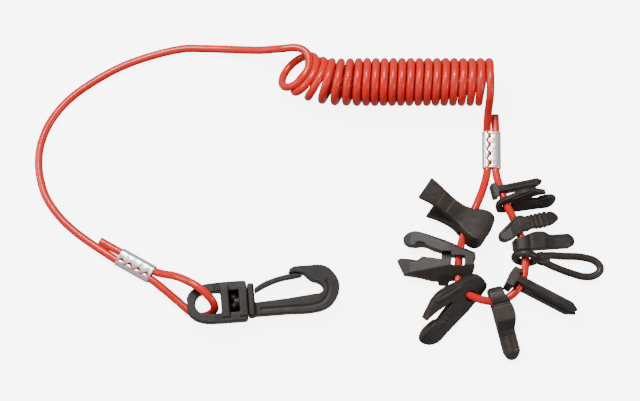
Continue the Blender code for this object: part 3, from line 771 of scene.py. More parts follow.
class Row:
    """Geometry Nodes trees for what repeats along a line or follows a path."""

    @staticmethod
    def tree(name: str, sizes: tuple[tuple[str, str], ...]) -> bpy.types.NodeTree:
        """Start a tree with a geometry input and output and named sizes.

        Args:
            name: Name of the tree.
            sizes: (name, socket type) of each further input.

        Returns:
            The tree.
        """
        tree = bpy.data.node_groups.new(name, "GeometryNodeTree")
        face = tree.interface
        face.new_socket("Geometry", in_out="INPUT", socket_type="NodeSocketGeometry")
        for label, kind in sizes:
            face.new_socket(label, in_out="INPUT", socket_type=kind)
        face.new_socket("Geometry", in_out="OUTPUT", socket_type="NodeSocketGeometry")
        return tree

    @staticmethod
    def wire(
        tree: bpy.types.NodeTree, wires: tuple[tuple[bpy.types.Node, str, bpy.types.Node, str], ...]
    ) -> None:
        """Link nodes.

        Args:
            tree: Tree that the nodes are in.
            wires: (node, its output, next node, its input) of each link.
        """
        for source, output, target, entry in wires:
            tree.links.new(source.outputs[output], target.inputs[entry])

    @staticmethod
    def made(thing: bpy.types.Object, tree: bpy.types.NodeTree, sizes: dict[str, object]) -> bpy.types.Object:
        """Run a tree on an object and keep the plain mesh that comes out.

        Args:
            thing: Object that the tree works on.
            tree: The tree.
            sizes: Input name to value.

        Returns:
            The plain mesh object.
        """
        modifier = thing.modifiers.new("row", "NODES")
        modifier.node_group = tree
        for item in tree.interface.items_tree:
            if item.item_type == "SOCKET" and item.in_out == "INPUT" and item.name in sizes:
                modifier[item.identifier] = sizes[item.name]
        return Mould.settled(thing)

    @classmethod
    def swept_cord(cls) -> bpy.types.NodeTree:
        """Tree that sweeps a round section along a line and keeps how far along and round each point is.

        Returns:
            The tree, with inputs Radius, Sides and Finish.
        """
        sizes = (("Radius", "NodeSocketFloat"), ("Sides", "NodeSocketInt"), ("Finish", "NodeSocketMaterial"))
        tree = cls.tree("swept cord", sizes)
        add = tree.nodes.new
        given, out = add("NodeGroupInput"), add("NodeGroupOutput")
        line = add("GeometryNodeMeshToCurve")
        along, around = add("GeometryNodeSplineParameter"), add("GeometryNodeSplineParameter")
        keep_along, keep_around = add("GeometryNodeCaptureAttribute"), add("GeometryNodeCaptureAttribute")
        for keep in (keep_along, keep_around):
            keep.capture_items.new("FLOAT", "Value")
        ring = add("GeometryNodeCurvePrimitiveCircle")
        sweep = add("GeometryNodeCurveToMesh")
        sweep.inputs["Fill Caps"].default_value = True
        both = add("ShaderNodeCombineXYZ")
        store = add("GeometryNodeStoreNamedAttribute")
        store.data_type = "FLOAT2"
        store.domain = "CORNER"
        store.inputs["Name"].default_value = "UVMap"
        realise, dress = add("GeometryNodeRealizeInstances"), add("GeometryNodeSetMaterial")
        smooth = add("GeometryNodeSetShadeSmooth")
        cls.wire(tree, (
            (given, "Geometry", line, "Mesh"),
            (line, "Curve", keep_along, "Geometry"),
            (along, "Length", keep_along, "Value"),
            (given, "Radius", ring, "Radius"),
            (given, "Sides", ring, "Resolution"),
            (ring, "Curve", keep_around, "Geometry"),
            (around, "Factor", keep_around, "Value"),
            (keep_along, "Geometry", sweep, "Curve"),
            (keep_around, "Geometry", sweep, "Profile Curve"),
            (keep_along, "Value", both, "X"),
            (keep_around, "Value", both, "Y"),
            (sweep, "Mesh", store, "Geometry"),
            (both, "Vector", store, "Value"),
            (store, "Geometry", smooth, "Geometry"),
            (smooth, "Geometry", realise, "Geometry"),
            (realise, "Geometry", dress, "Geometry"),
            (given, "Finish", dress, "Material"),
            (dress, "Geometry", out, "Geometry"),
        ))
        return tree

    @classmethod
    def repeated(cls) -> bpy.types.NodeTree:
        """Tree that repeats its geometry along a straight line.

        Returns:
            The tree, with inputs Count, Step and Finish.
        """
        sizes = (("Count", "NodeSocketInt"), ("Step", "NodeSocketVector"), ("Finish", "NodeSocketMaterial"))
        tree = cls.tree("repeated", sizes)
        add = tree.nodes.new
        given, out = add("NodeGroupInput"), add("NodeGroupOutput")
        line = add("GeometryNodeMeshLine")
        line.mode = "OFFSET"
        copies = add("GeometryNodeInstanceOnPoints")
        realise, dress = add("GeometryNodeRealizeInstances"), add("GeometryNodeSetMaterial")
        cls.wire(tree, (
            (given, "Count", line, "Count"),
            (given, "Step", line, "Offset"),
            (line, "Mesh", copies, "Points"),
            (given, "Geometry", copies, "Instance"),
            (copies, "Instances", realise, "Geometry"),
            (realise, "Geometry", dress, "Geometry"),
            (given, "Finish", dress, "Material"),
            (dress, "Geometry", out, "Geometry"),
        ))
        return tree

    @classmethod
    def of(
        cls, solid: bpy.types.Object, count: int, step: Point, finish: bpy.types.Material
    ) -> bpy.types.Object:
        """Repeat a solid along a line.

        Args:
            solid: The first one, which is used up.
            count: How many there are.
            step: From one to the next.
            finish: Finish of them all.

        Returns:
            One object that holds them all.
        """
        return cls.made(solid, cls.repeated(), {"Count": count, "Step": Vector(step), "Finish": finish})


@dataclass(frozen=True)
class Dressing:
    """Puts a finished piece on its body in its finish."""

    body: str
    finish: MouldedNylon | GlossyCord | PressedTin
    nodes: tuple[str, ...]

    def put(self, piece: bpy.types.Object, name: str) -> bpy.types.Object:
        """Name, dress and place a piece.

        Args:
            piece: Mesh object at the origin.
            name: Name of the piece.

        Returns:
            The same object.
        """
        for collection in list(piece.users_collection):
            collection.objects.unlink(piece)
        bpy.context.scene.collection.objects.link(piece)
        piece.name = name
        piece.data.name = name
        piece.data.materials.clear()
        piece.data.materials.append(self.finish.material())
        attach(piece, self.body)
        if self.nodes:
            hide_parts(*self.nodes)
        LOG.info("%s: %d faces on %s", name, len(piece.data.polygons), self.body)
        return piece


# Cord


@dataclass
class Ring:
    """One open turn at the coil's loose end."""

    x: float
    y: float
    yaw: float
    lean: float
    radius: float = 0.0103


@dataclass
class RedCord:
    """One length of round cord: hook loop, crimp, arc, coil, crimp and key ring."""

    diameter: float = 0.0040
    bench_gap: float = 0.0001
    coil_y: float = 0.0933
    coil_end: float = 0.0459
    turns: int = 21
    first_turn: float = 75.5
    last_turn: float = 75.0
    settling_turns: float = 7.0
    points_per_turn: int = 56
    sides: int = 28
    step: float = 0.0011
    lane_spacing: float = 0.0043
    ferrule_rest: float = 0.0026
    ferrule_length: float = 0.0188
    hook_ferrule: tuple[float, float, float] = (-0.1301, 0.0013, -29.1)
    key_ferrule: tuple[float, float, float] = (0.0482, 0.0603, -91.0)
    rings: tuple[Ring, ...] = (
        Ring(-0.0526, 0.1020, 28.0, 48.0, 0.0104),
        Ring(-0.0482, 0.0989, 31.0, 38.0),
        Ring(-0.0425, 0.0958, 29.0, 22.0),
        Ring(-0.0369, 0.0942, 23.0, 9.0),
        Ring(-0.0311, 0.0935, 17.5, 3.0),
        Ring(-0.0258, 0.0933, 13.5, 1.0),
        Ring(-0.0208, 0.0933, 10.0, 0.4),
        Ring(-0.0162, 0.0933, 8.0, -0.4),
    )
    hook_tail: Point = (-0.1481, 0.0138, 0.0006)
    eye_loop: tuple[Point, ...] = (
        (-0.1150, -0.0036, 0.0040), (-0.1098, -0.0053, 0.0092), (-0.1040, -0.0079, 0.0130),
        (-0.0978, -0.0115, 0.0145), (-0.0921, -0.0164, 0.0130), (-0.0900, -0.0199, 0.0086),
        (-0.0907, -0.0217, 0.0038), (-0.0935, -0.0233, 0.0006), (-0.0985, -0.0240, 0.0000),
        (-0.1040, -0.0205, 0.0000), (-0.1095, -0.0158, 0.0000), (-0.1150, -0.0112, 0.0003),
    )
    arc: tuple[Point, ...] = (
        (-0.1535, 0.0132, 0.0000), (-0.1619, 0.0195, 0.0000), (-0.1692, 0.0266, 0.0000),
        (-0.1758, 0.0360, 0.0000), (-0.1792, 0.0456, 0.0000), (-0.1804, 0.0550, 0.0000),
        (-0.1794, 0.0646, 0.0000), (-0.1752, 0.0753, 0.0000), (-0.1672, 0.0860, 0.0000),
        (-0.1551, 0.0957, 0.0000), (-0.1397, 0.1046, 0.0000), (-0.1241, 0.1104, 0.0000),
        (-0.1087, 0.1140, 0.0000), (-0.0981, 0.1140, 0.0004), (-0.0824, 0.1128, 0.0026),
        (-0.0689, 0.1112, 0.0066), (-0.0578, 0.1105, 0.0114), (-0.0496, 0.1106, 0.0124),
        (-0.0447, 0.1071, 0.0132),
    )
    coil_exit: tuple[Point, ...] = (
        (0.0463, 0.0920, 0.0207), (0.0463, 0.0867, 0.0191), (0.0463, 0.0832, 0.0160),
        (0.0463, 0.0812, 0.0120), (0.0462, 0.0782, 0.0076), (0.0461, 0.0751, 0.0044),
    )
    key_ring: tuple[Point, ...] = (
        (0.0445, 0.0440, 0.0024), (0.0422, 0.0374, 0.0060), (0.0391, 0.0301, 0.0079),
        (0.0360, 0.0232, 0.0083), (0.0330, 0.0160, 0.0072), (0.0311, 0.0095, 0.0046),
        (0.0303, 0.0030, 0.0036), (0.0299, -0.0040, 0.0036), (0.0303, -0.0086, 0.0040),
        (0.0332, -0.0127, 0.0050), (0.0378, -0.0153, 0.0047), (0.0428, -0.0166, 0.0038),
        (0.0489, -0.0171, 0.0033), (0.0552, -0.0146, 0.0043), (0.0600, -0.0096, 0.0052),
        (0.0625, -0.0031, 0.0052), (0.0631, 0.0051, 0.0051), (0.0622, 0.0128, 0.0040),
        (0.0597, 0.0199, 0.0036), (0.0571, 0.0263, 0.0040), (0.0544, 0.0320, 0.0043),
        (0.0523, 0.0385, 0.0038), (0.0508, 0.0448, 0.0018),
    )
    key_tail: Point = (0.0504, 0.0788, 0.0006)

    def on_bench(self, points: tuple[Point, ...]) -> list[Vector]:
        """Turn lifts off the bench into heights of the cord's centre.

        Args:
            points: x, y and lift.

        Returns:
            Points of the centreline.
        """
        rest = self.diameter / 2 + self.bench_gap
        return [Vector((x, y, lift + rest)) for x, y, lift in points]

    def lane(self, ferrule: tuple[float, float, float], side: float, forward: bool) -> list[Vector]:
        """Give the straight run through one lane of a ferrule.

        Args:
            ferrule: x, y and heading in degrees.
            side: 1 or -1.
            forward: Whether the run follows the heading.

        Returns:
            Points of the centreline.
        """
        heading = math.radians(ferrule[2])
        along = Vector((math.cos(heading), math.sin(heading), 0.0))
        across = Vector((-math.sin(heading), math.cos(heading), 0.0)) * side * self.lane_spacing / 2
        middle = Vector((ferrule[0], ferrule[1], self.ferrule_rest)) + across
        inner, reach = along * self.ferrule_length * 0.50, along * self.ferrule_length * 0.57
        ends = [middle - reach, middle - inner, middle + inner, middle + reach]
        return ends if forward else ends[::-1]

    def ring_at(self, turn: float) -> Ring:
        """Give the coil's ring at a turn, counted from the loose end.

        Args:
            turn: 0 at the first ring, a whole number at each next one.

        Returns:
            The ring there.
        """
        last, end = len(self.rings) - 1, self.rings[-1]
        if turn >= last:
            pitch = (self.coil_end - end.x) / (self.turns + self.last_turn / 360.0 - last)
            settle = max(0.0, 1.0 - (turn - last) / self.settling_turns)
            return Ring(end.x + (turn - last) * pitch, self.coil_y, end.yaw, end.lean * settle, end.radius)
        low = int(turn)
        first, second = (vars(self.rings[index]) for index in (low, low + 1))
        return Ring(**{size: first[size] + (second[size] - first[size]) * (turn - low) for size in first})

    def coil(self) -> list[Vector]:
        """Give the coil's turns, fanned open at the loose end.

        Returns:
            Points of the centreline.
        """
        start, end = self.first_turn / 360.0, self.turns + self.last_turn / 360.0
        count = int((end - start) * self.points_per_turn)
        points = []
        for index in range(count + 1):
            turn = start + (end - start) * index / count
            ring = self.ring_at(turn)
            yaw, lean, angle = math.radians(ring.yaw), math.radians(ring.lean), turn * 2.0 * math.pi
            height = ring.radius * math.cos(lean) + self.diameter / 2 + self.bench_gap
            middle = Vector((ring.x, ring.y, height))
            normal = Vector((math.cos(yaw), -math.sin(yaw), 0.0))
            across = Vector((math.sin(yaw), math.cos(yaw), 0.0))
            upward = Vector((0.0, 0.0, 1.0)) * math.cos(lean) + normal * math.sin(lean)
            points.append(middle + (across * math.cos(angle) + upward * math.sin(angle)) * ring.radius)
        return points

    @staticmethod
    def smooth(points: list[Vector], step: float) -> list[Vector]:
        """Read evenly spaced points off a smooth curve through the given points.

        Args:
            points: Points that the curve passes.
            step: Spacing.

        Returns:
            Points of the centreline.
        """
        fine: list[Vector] = []
        for index in range(len(points) - 1):
            here, there = points[index], points[index + 1]
            before = points[index - 1] if index else here
            after = points[index + 2] if index + 2 < len(points) else there
            span = (there - here).length
            out = (there - before).normalized() * span / 3
            back = (after - here).normalized() * span / 3
            count = max(2, round(span / step) + 1)
            fine += interpolate_bezier(here, here + out, there - back, there, count)[:-1]
        fine.append(points[-1])
        return fine

    def route(self) -> list[Vector]:
        """Give the whole centreline from the tail at the hook to the tail at the keys.

        Returns:
            Points in the row frame.
        """
        turns = self.coil()
        first = self.on_bench((self.hook_tail,)) + self.lane(self.hook_ferrule, 1.0, True)
        first += self.on_bench(self.eye_loop) + self.lane(self.hook_ferrule, -1.0, False)
        first += self.on_bench(self.arc)
        last = self.on_bench(self.coil_exit) + self.lane(self.key_ferrule, -1.0, True)
        last += self.on_bench(self.key_ring) + self.lane(self.key_ferrule, 1.0, False)
        last += self.on_bench((self.key_tail,))
        lead = self.smooth(first + turns[:3], self.step)[:-1]
        trail = self.smooth(turns[-3:] + last, self.step)[1:]
        return [point + MIDDLE for point in lead + turns[3:-3] + trail]

    def build(self) -> bpy.types.Object:
        """Returns:
            The cord.
        """
        path = self.route()
        line = bpy.data.meshes.new("cord_line")
        line.from_pydata(path, [(index, index + 1) for index in range(len(path) - 1)], [])
        finish = GlossyCord()
        sizes = {"Radius": self.diameter / 2, "Sides": self.sides, "Finish": finish.material()}
        cord = Row.made(Mould.thing("cord_line", line), Row.swept_cord(), sizes)
        nodes = ("cord_hook_side", "coil", "cord_key_side")
        cord = Dressing(ROOT_BODY, finish, nodes).put(cord, "red_cord")
        length = sum((there - here).length for here, there in zip(path, path[1:]))
        LOG.info("cord length %.3f m, %d points", length, len(path))
        self.length, self.path = length, path
        return cord


# Crimp sleeves


@dataclass
class CrimpSleeve:
    """Oval sleeve of thin sheet, closed by a toothed seam over one lane of the cord."""

    name: str
    node: str
    x: float
    y: float
    heading: float
    length: float = 0.0188
    wall: float = 0.0004
    lumen_height: float = 0.0044
    lumen_width: float = 0.0087
    seam_teeth: int = 4
    seam_depth: float = 0.0014
    seam_gap: float = 0.0012
    seam_side: float = -1.0
    seam_aside: float = 0.0016
    tooth_flat: float = 0.22
    rings: int = 90
    flutes: float = 0.00004
    flute_waves: float = 9.0
    rolled_edge: float = 0.00012
    rolled_from: float = 0.93
    edge_bevel: float = 0.00006

    def section(self, inset: float) -> list[tuple[float, float]]:
        """Give the oval section.

        Args:
            inset: How far inside the outer wall it runs.

        Returns:
            (across, up) points.
        """
        radius = self.lumen_height / 2 + self.wall - inset
        straight = (self.lumen_width - self.lumen_height) / 2
        points = []
        for side in (1.0, -1.0):
            for index in range(25):
                angle = math.pi * index / 24 - math.pi / 2
                points.append((side * (straight + radius * math.cos(angle)), side * radius * math.sin(angle)))
        return points

    def tube(self) -> bpy.types.Object:
        """Loft the sleeve's outer and inner walls with its press marks.

        Returns:
            A closed solid along X.
        """
        outer, inner = self.section(0.0), self.section(self.wall)
        solid = bmesh.new()
        loops: list[list[bmesh.types.BMVert]] = []
        stations = [(index / self.rings - 0.5) * self.length for index in range(self.rings + 1)]
        for shape, order in ((outer, stations), (inner, stations[::-1])):
            for x in order:
                edge = abs(x) / (self.length / 2)
                mark = math.cos(x / self.length * math.pi * self.flute_waves) * self.flutes
                mark *= max(0.0, 1.0 - edge ** 6)
                roll = self.rolled_edge * max(0.0, (edge - self.rolled_from) / 0.07) ** 2
                loops.append([
                    solid.verts.new((x, y, z - (mark + roll) * z / (self.lumen_height / 2))) for y, z in shape
                ])
        loops.append(loops[0])
        for first, second in zip(loops, loops[1:]):
            for index in range(len(first)):
                after = (index + 1) % len(first)
                solid.faces.new((first[index], first[after], second[after], second[index]))
        bmesh.ops.recalc_face_normals(solid, faces=solid.faces)
        return Mould.shaped(self.name, solid)

    def build(self) -> bpy.types.Object:
        """Make the sleeve, cut its seam and put it in place.

        Returns:
            The sleeve.
        """
        body = self.tube()
        tooth = self.length / (self.seam_teeth * 2)
        count = self.seam_teeth * 2 + 2
        edge = []
        for index in range(count + 1):
            x = (index - count / 2) * tooth
            high = index % 2 == 0
            flat = tooth * self.tooth_flat
            y = self.seam_depth * (0.5 if high else -0.5)
            edge += [(x - flat, y), (x + flat, y)]
        upper = [(x, y + self.seam_gap / 2) for x, y in edge]
        lower = [(x, y - self.seam_gap / 2) for x, y in reversed(edge)]
        offset = self.seam_side * self.seam_aside
        over = Matrix.Translation((0.0, offset, self.lumen_height / 2))
        seam = Mould.outline(tuple(upper + lower), self.lumen_height / 2, over, 1)
        body = Mould.welded(Mould.change(body, seam, "DIFFERENCE"))
        body = Mould.bevelled(body, self.edge_bevel, 2, 50.0)
        rest = Vector((self.x, self.y, self.lumen_height / 2 + self.wall)) + MIDDLE
        body.data.transform(Matrix.Translation(rest) @ Matrix.Rotation(math.radians(self.heading), 4, "Z"))
        body.data.shade_smooth()
        body.data.set_sharp_from_angle(angle=math.radians(40.0))
        finish = PressedTin(name=self.name + "_tin", heading=math.radians(self.heading))
        return Dressing(ROOT_BODY, finish, (self.node,)).put(body, self.name)


# Swivel hook


@dataclass
class SwivelHook:
    """Moulded frame with an eye, and a snap hook that turns in it."""

    place: Point = (-0.0741, -0.0171, 0.0069)
    heading: float = 5.0
    tilt: float = 3.5
    half_width: float = 0.0098
    bar: float = 0.0044
    end: float = -0.0295
    eye_depth: float = 0.0070
    housing_depth: float = 0.0094
    eye_centre: float = -0.0193
    eye_length: float = 0.0126
    cross_wall: float = 0.0040
    window_length: float = 0.0048
    neck_diameter: float = 0.0056
    collar_gap: float = 0.0002
    collar_length: float = 0.0034
    collar_width: float = 0.0166
    collar_depth: float = 0.0098
    hook_depth: float = 0.0076
    gate_depth: float = 0.0050
    chamfer: float = 0.0015
    channel_depth: float = 0.0005
    neck_room: float = 0.0006
    # Thickness and overlap of a thin sheet under the window, which paints the shade seen through it.
    shade_sheet: float = 0.0006
    shade_sheet_overlap: float = 0.0008
    lobe: Point = (0.0042, 0.0041, 0.0058)
    lobe_aside: float = 0.00205
    voxel: float = 0.00022
    colour: Colour = (0.0125, 0.0098, 0.0082)
    # Lighter patch colour of the hook and frame: partly wear, partly a painted sheen.
    rubbed_and_painted_sheen: Colour = (0.030, 0.0245, 0.021)

    def unit(self) -> Matrix:
        """Give the matrix from the hook's own axes to the row frame."""
        return (
            Matrix.Translation(Vector(self.place) + MIDDLE)
            @ Matrix.Rotation(math.radians(self.heading), 4, "Z")
            @ Matrix.Rotation(math.radians(self.tilt), 4, "Y")
        )

    @property
    def wall_start(self) -> float:
        """Give where the eye ends and the cross wall starts."""
        return self.eye_centre + self.eye_length / 2

    @property
    def window_middle(self) -> float:
        """Give the middle of the housing's window."""
        return self.wall_start + self.cross_wall + self.window_length / 2

    def delivered(
        self, body: bpy.types.Object, name: str, body_name: str, node: str, sheen: Sheen
    ) -> bpy.types.Object:
        """Soften a piece, put it in place and dress it.

        Args:
            body: Joined solids in the hook's own axes.
            name: Name of the piece.
            body_name: Body that it rides on.
            node: CAD node that it stands for.
            sheen: How it came out of its mould.

        Returns:
            The piece.
        """
        body = Mould.softened(body, self.voxel, 5)
        body.data.transform(self.unit())
        finish = MouldedNylon(name=name + "_nylon", sheen=sheen, colour=self.colour, rubbed_and_painted_sheen=self.rubbed_and_painted_sheen)
        return Dressing(body_name, finish, (node,)).put(body, name)

    def frame_piece(self) -> bpy.types.Object:
        """Build the frame with its eye, raised cross walls and window, with a thin sheet of painted shade
        under the window.

        Returns:
            The piece.
        """
        half, end, start = self.half_width, self.end, self.wall_start
        outline = (
            (0.0, -half + 0.0016), (-0.0004, -half + 0.0005), (-0.0015, -half), (-0.0180, -half),
            (-0.0225, -half * 0.93, "smooth"), (-0.0268, -half * 0.72, "smooth"),
            (-0.0294, -half * 0.38, "smooth"), (end, 0.0, "smooth"), (-0.0294, half * 0.38, "smooth"),
            (-0.0268, half * 0.72, "smooth"), (-0.0225, half * 0.93, "smooth"), (-0.0180, half),
            (-0.0015, half), (-0.0004, half - 0.0005), (0.0, half - 0.0016),
        )
        deep, thin = self.housing_depth / 2, self.eye_depth / 2
        side = (
            (0.002, -deep), (0.002, deep), (start, deep), (start - 0.004, thin), (end - 0.002, thin),
            (end - 0.002, -thin), (start - 0.004, -thin), (start, -deep),
        )
        body = Mould.change(
            Mould.outline(outline, self.housing_depth), Mould.outline(side, half * 3, SIDE_VIEW), "INTERSECT"
        )
        inner = half - self.bar
        left = self.eye_centre - self.eye_length / 2
        eye = (
            (start, -inner), (start, inner), (left + 0.0055, inner), (left + 0.0016, inner * 0.70, "smooth"),
            (left, 0.0, "smooth"), (left + 0.0016, -inner * 0.70, "smooth"), (left + 0.0055, -inner),
        )
        body = Mould.change(body, Mould.outline(eye, self.housing_depth * 2), "DIFFERENCE")
        window = Mould.block(
            (self.window_length, inner * 2, self.housing_depth * 2), (self.window_middle, 0.0, 0.0)
        )
        body = Mould.change(body, window, "DIFFERENCE")
        throat = Mould.rod(self.neck_diameter + self.neck_room, -self.window_middle * 2, ALONG_X)
        body = Mould.change(body, throat, "DIFFERENCE")
        walls = []
        for middle in (start + self.cross_wall / 2, self.window_middle + self.window_length / 2 + 0.0021):
            for face in (1.0, -1.0):
                size = (self.cross_wall - 0.0001, inner * 2 + 0.0044, 0.0009)
                walls.append(Mould.block(size, (middle, 0.0, face * (deep - 0.0001))))
        # Painted shade: a thin dark sheet closes the through window from below, so that the window shows
        # dark.
        shade_sheet_size = (self.window_length + self.shade_sheet_overlap, inner * 2 + self.shade_sheet_overlap, self.shade_sheet)
        shade_sheet = Mould.block(shade_sheet_size, (self.window_middle, 0.0, -deep))
        body = Mould.together("swivel_frame", [body, *walls, shade_sheet])
        return self.delivered(body, "swivel_frame_moulding", "frame_body", "swivel_frame", Sheen.SATIN)

    def hook_piece(self) -> bpy.types.Object:
        """Build the hook with its collar, neck and two-lobed snap head.

        Returns:
            The piece.
        """
        start = self.collar_gap + self.collar_length * 0.5
        outline = (
            (start, -0.0079), (0.0200, -0.0079), (0.0330, -0.0080, "smooth"), (0.0388, -0.0066, "smooth"),
            (0.0430, -0.0034, "smooth"), (0.0453, 0.0010, "smooth"), (0.0456, 0.0055, "smooth"),
            (0.0436, 0.0102, "smooth"), (0.0402, 0.0137, "smooth"), (0.0360, 0.0150, "smooth"),
            (0.0310, 0.0150, "smooth"), (0.0271, 0.0151, "smooth"), (0.0238, 0.0148, "smooth"),
            (0.0216, 0.0134, "smooth"), (0.0218, 0.0119, "smooth"), (0.0240, 0.0122),
            (0.0286, 0.0113), (0.0311, 0.0086, "smooth"), (0.0326, 0.0074, "smooth"),
            (0.0353, 0.0064, "smooth"), (0.0374, 0.0045, "smooth"), (0.0377, 0.0028, "smooth"),
            (0.0359, 0.0010, "smooth"), (0.0330, 0.0007), (0.0200, -0.0005), (start, -0.0015),
        )
        body = Mould.outline(outline, self.hook_depth)
        body = Mould.bevelled(body, self.chamfer, 4, 60.0)
        channel = (
            (0.0062, -0.0058), (0.0200, -0.0058), (0.0318, -0.0057, "smooth"), (0.0362, -0.0046, "smooth"),
            (0.0392, -0.0022, "smooth"), (0.0407, 0.0010, "smooth"), (0.0408, 0.0048, "smooth"),
            (0.0398, 0.0076, "smooth"), (0.0392, 0.0070, "smooth"), (0.0398, 0.0046, "smooth"),
            (0.0397, 0.0014, "smooth"), (0.0382, -0.0012, "smooth"), (0.0356, -0.0032, "smooth"),
            (0.0318, -0.0042, "smooth"), (0.0200, -0.0044), (0.0062, -0.0044),
        )
        for face in (1.0, -1.0):
            sunk = Matrix.Translation((0.0, 0.0, face * (self.hook_depth / 2)))
            body = Mould.change(body, Mould.outline(channel, self.channel_depth, sunk), "DIFFERENCE")
        collar_middle = self.collar_gap + self.collar_length / 2
        collar_size = (self.collar_length, self.collar_width, self.collar_depth)
        collar = Mould.bevelled(Mould.block(collar_size, (collar_middle, 0.0, 0.0)), 0.0010, 3)
        neck_length = collar_middle - self.window_middle
        neck = Mould.rod(
            self.neck_diameter, neck_length,
            Matrix.Translation(((collar_middle + self.window_middle) / 2, 0.0, 0.0)) @ ALONG_X,
        )
        places = [(self.window_middle, side * self.lobe_aside, 0.0) for side in (1.0, -1.0)]
        lobes = [Mould.ball(self.lobe, place) for place in places]
        behind = Matrix.Translation((self.window_middle + 0.0012, 0.0, 0.0))
        bridge = Mould.rod(0.0036, 0.0026, behind @ ALONG_X)
        body = Mould.together("hook", [body, collar, neck, bridge, *lobes])
        return self.delivered(body, "snap_hook_moulding", "hook_body", "hook", Sheen.SATIN)

    def gate_piece(self) -> bpy.types.Object:
        """Build the springy tongue.

        Returns:
            The piece.
        """
        root = self.collar_gap + self.collar_length + 0.0003
        outline = (
            (root, 0.0034), (root, 0.0060), (0.0080, 0.0083, "smooth"), (0.0130, 0.0100, "smooth"),
            (0.0185, 0.0112, "smooth"), (0.0236, 0.0117, "smooth"), (0.0277, 0.0110), (0.0279, 0.0100),
            (0.0236, 0.0094, "smooth"), (0.0186, 0.0088, "smooth"), (0.0131, 0.0075, "smooth"),
            (0.0080, 0.0055, "smooth"),
        )
        body = Mould.outline(outline, self.gate_depth)
        return self.delivered(body, "gate_tongue", "gate_body", "gate", Sheen.SMOOTH)

    def build(self) -> None:
        """Build the three pieces."""
        self.frame_piece()
        self.hook_piece()
        self.gate_piece()


# Keys


def scaled(points: tuple[Point, ...], factor: float) -> tuple[Point, ...]:
    """Scale an outline and keep what its points say about smoothness.

    Args:
        points: Outline.
        factor: Scale.

    Returns:
        The scaled outline.
    """
    return tuple((p[0] * factor, p[1] * factor, *p[2:]) for p in points)


def mirrored(points: tuple[Point, ...], side_up: float) -> tuple[Point, ...]:
    """Turn an outline over for a key that lies on its other face.

    Args:
        points: Outline.
        side_up: 1 as drawn, -1 turned over.

    Returns:
        The outline.
    """
    if side_up > 0.0:
        return points
    return tuple((p[0], -p[1], *p[2:]) for p in reversed(points))


@dataclass
class SwitchKey:
    """A moulded key that hangs on the cord by its own hole."""

    node: str
    body: str
    hole: Point
    cord_line: Point
    turn: float
    heading: float
    lean: float
    bore: float
    size: float = 1.0
    sheen: Sheen = Sheen.SATIN
    voxel: float = 0.00018
    passes: int = 3

    @property
    def nylon(self) -> MouldedNylon:
        """Give the key's finish."""
        return MouldedNylon(name=self.node + "_nylon", sheen=self.sheen)

    def shape(self) -> bpy.types.Object:
        """Build the key's solids about its hole, with its blade along +X.

        Returns:
            The solids in one object.
        """
        raise NotImplementedError

    def build(self) -> bpy.types.Object:
        """Build, bore, soften, place and dress the key.

        Returns:
            The key.
        """
        lay = Matrix.Rotation(math.radians(self.heading), 4, "Z")
        lay = lay @ Matrix.Rotation(math.radians(self.lean), 4, "X")
        line = Vector(self.cord_line)
        through = lay.inverted() @ line.to_track_quat("Z", "Y").to_matrix().to_4x4()
        solid = Mould.softened(self.shape(), self.voxel * 1.3, 1)
        solid = Mould.change(solid, Mould.rod(self.bore, 0.06, through), "DIFFERENCE")
        solid = Mould.softened(solid, self.voxel, self.passes)
        turn = Matrix.Rotation(math.radians(self.turn), 4, line)
        solid.data.transform(Matrix.Translation(self.hole) @ turn @ lay)
        return Dressing(self.body, self.nylon, (self.node,)).put(solid, self.node + "_moulding")


@dataclass
class SlimFork(SwitchKey):
    """Fork on its edge: flanged head, flat-sided body with a fine line along it and two pointed prongs."""

    width: float = 0.0032
    flange: float = 0.0102

    def shape(self) -> bpy.types.Object:
        """Build the solids."""
        k = self.size
        half, flange = self.width / 2, self.flange * k / 2
        plan = (
            (-0.0068 * k, -flange), (-0.0068 * k, flange), (-0.0032 * k, flange), (-0.0030 * k, half),
            (0.0262 * k, half), (0.0311 * k, 0.0003), (0.0311 * k, -0.0003), (0.0262 * k, -half),
            (-0.0030 * k, -half), (-0.0032 * k, -flange),
        )
        side = scaled((
            (-0.0068, -0.0050), (-0.0068, 0.0050), (-0.0030, 0.0056), (0.0262, 0.0056), (0.0302, 0.0032),
            (0.0294, 0.0012), (0.0080, 0.0007), (0.0064, 0.0000, "smooth"), (0.0080, -0.0007),
            (0.0303, -0.0012), (0.0311, -0.0032), (0.0262, -0.0056), (-0.0030, -0.0056),
        ), k)
        body = Mould.crossed(plan, side, 0.02 * k, 0.02 * k)
        for across in (1.0, -1.0):
            start, end = (0.0010 * k, across * half, 0.0030 * k), (0.0252 * k, across * half, 0.0030 * k)
            body = Mould.scored(body, start, end, 0.0008 * k, 0.0008)
        start, end = (0.0020 * k, 0.0, 0.0056 * k), (0.0250 * k, 0.0, 0.0056 * k)
        return Mould.scored(body, start, end, 0.0006, 0.0007)


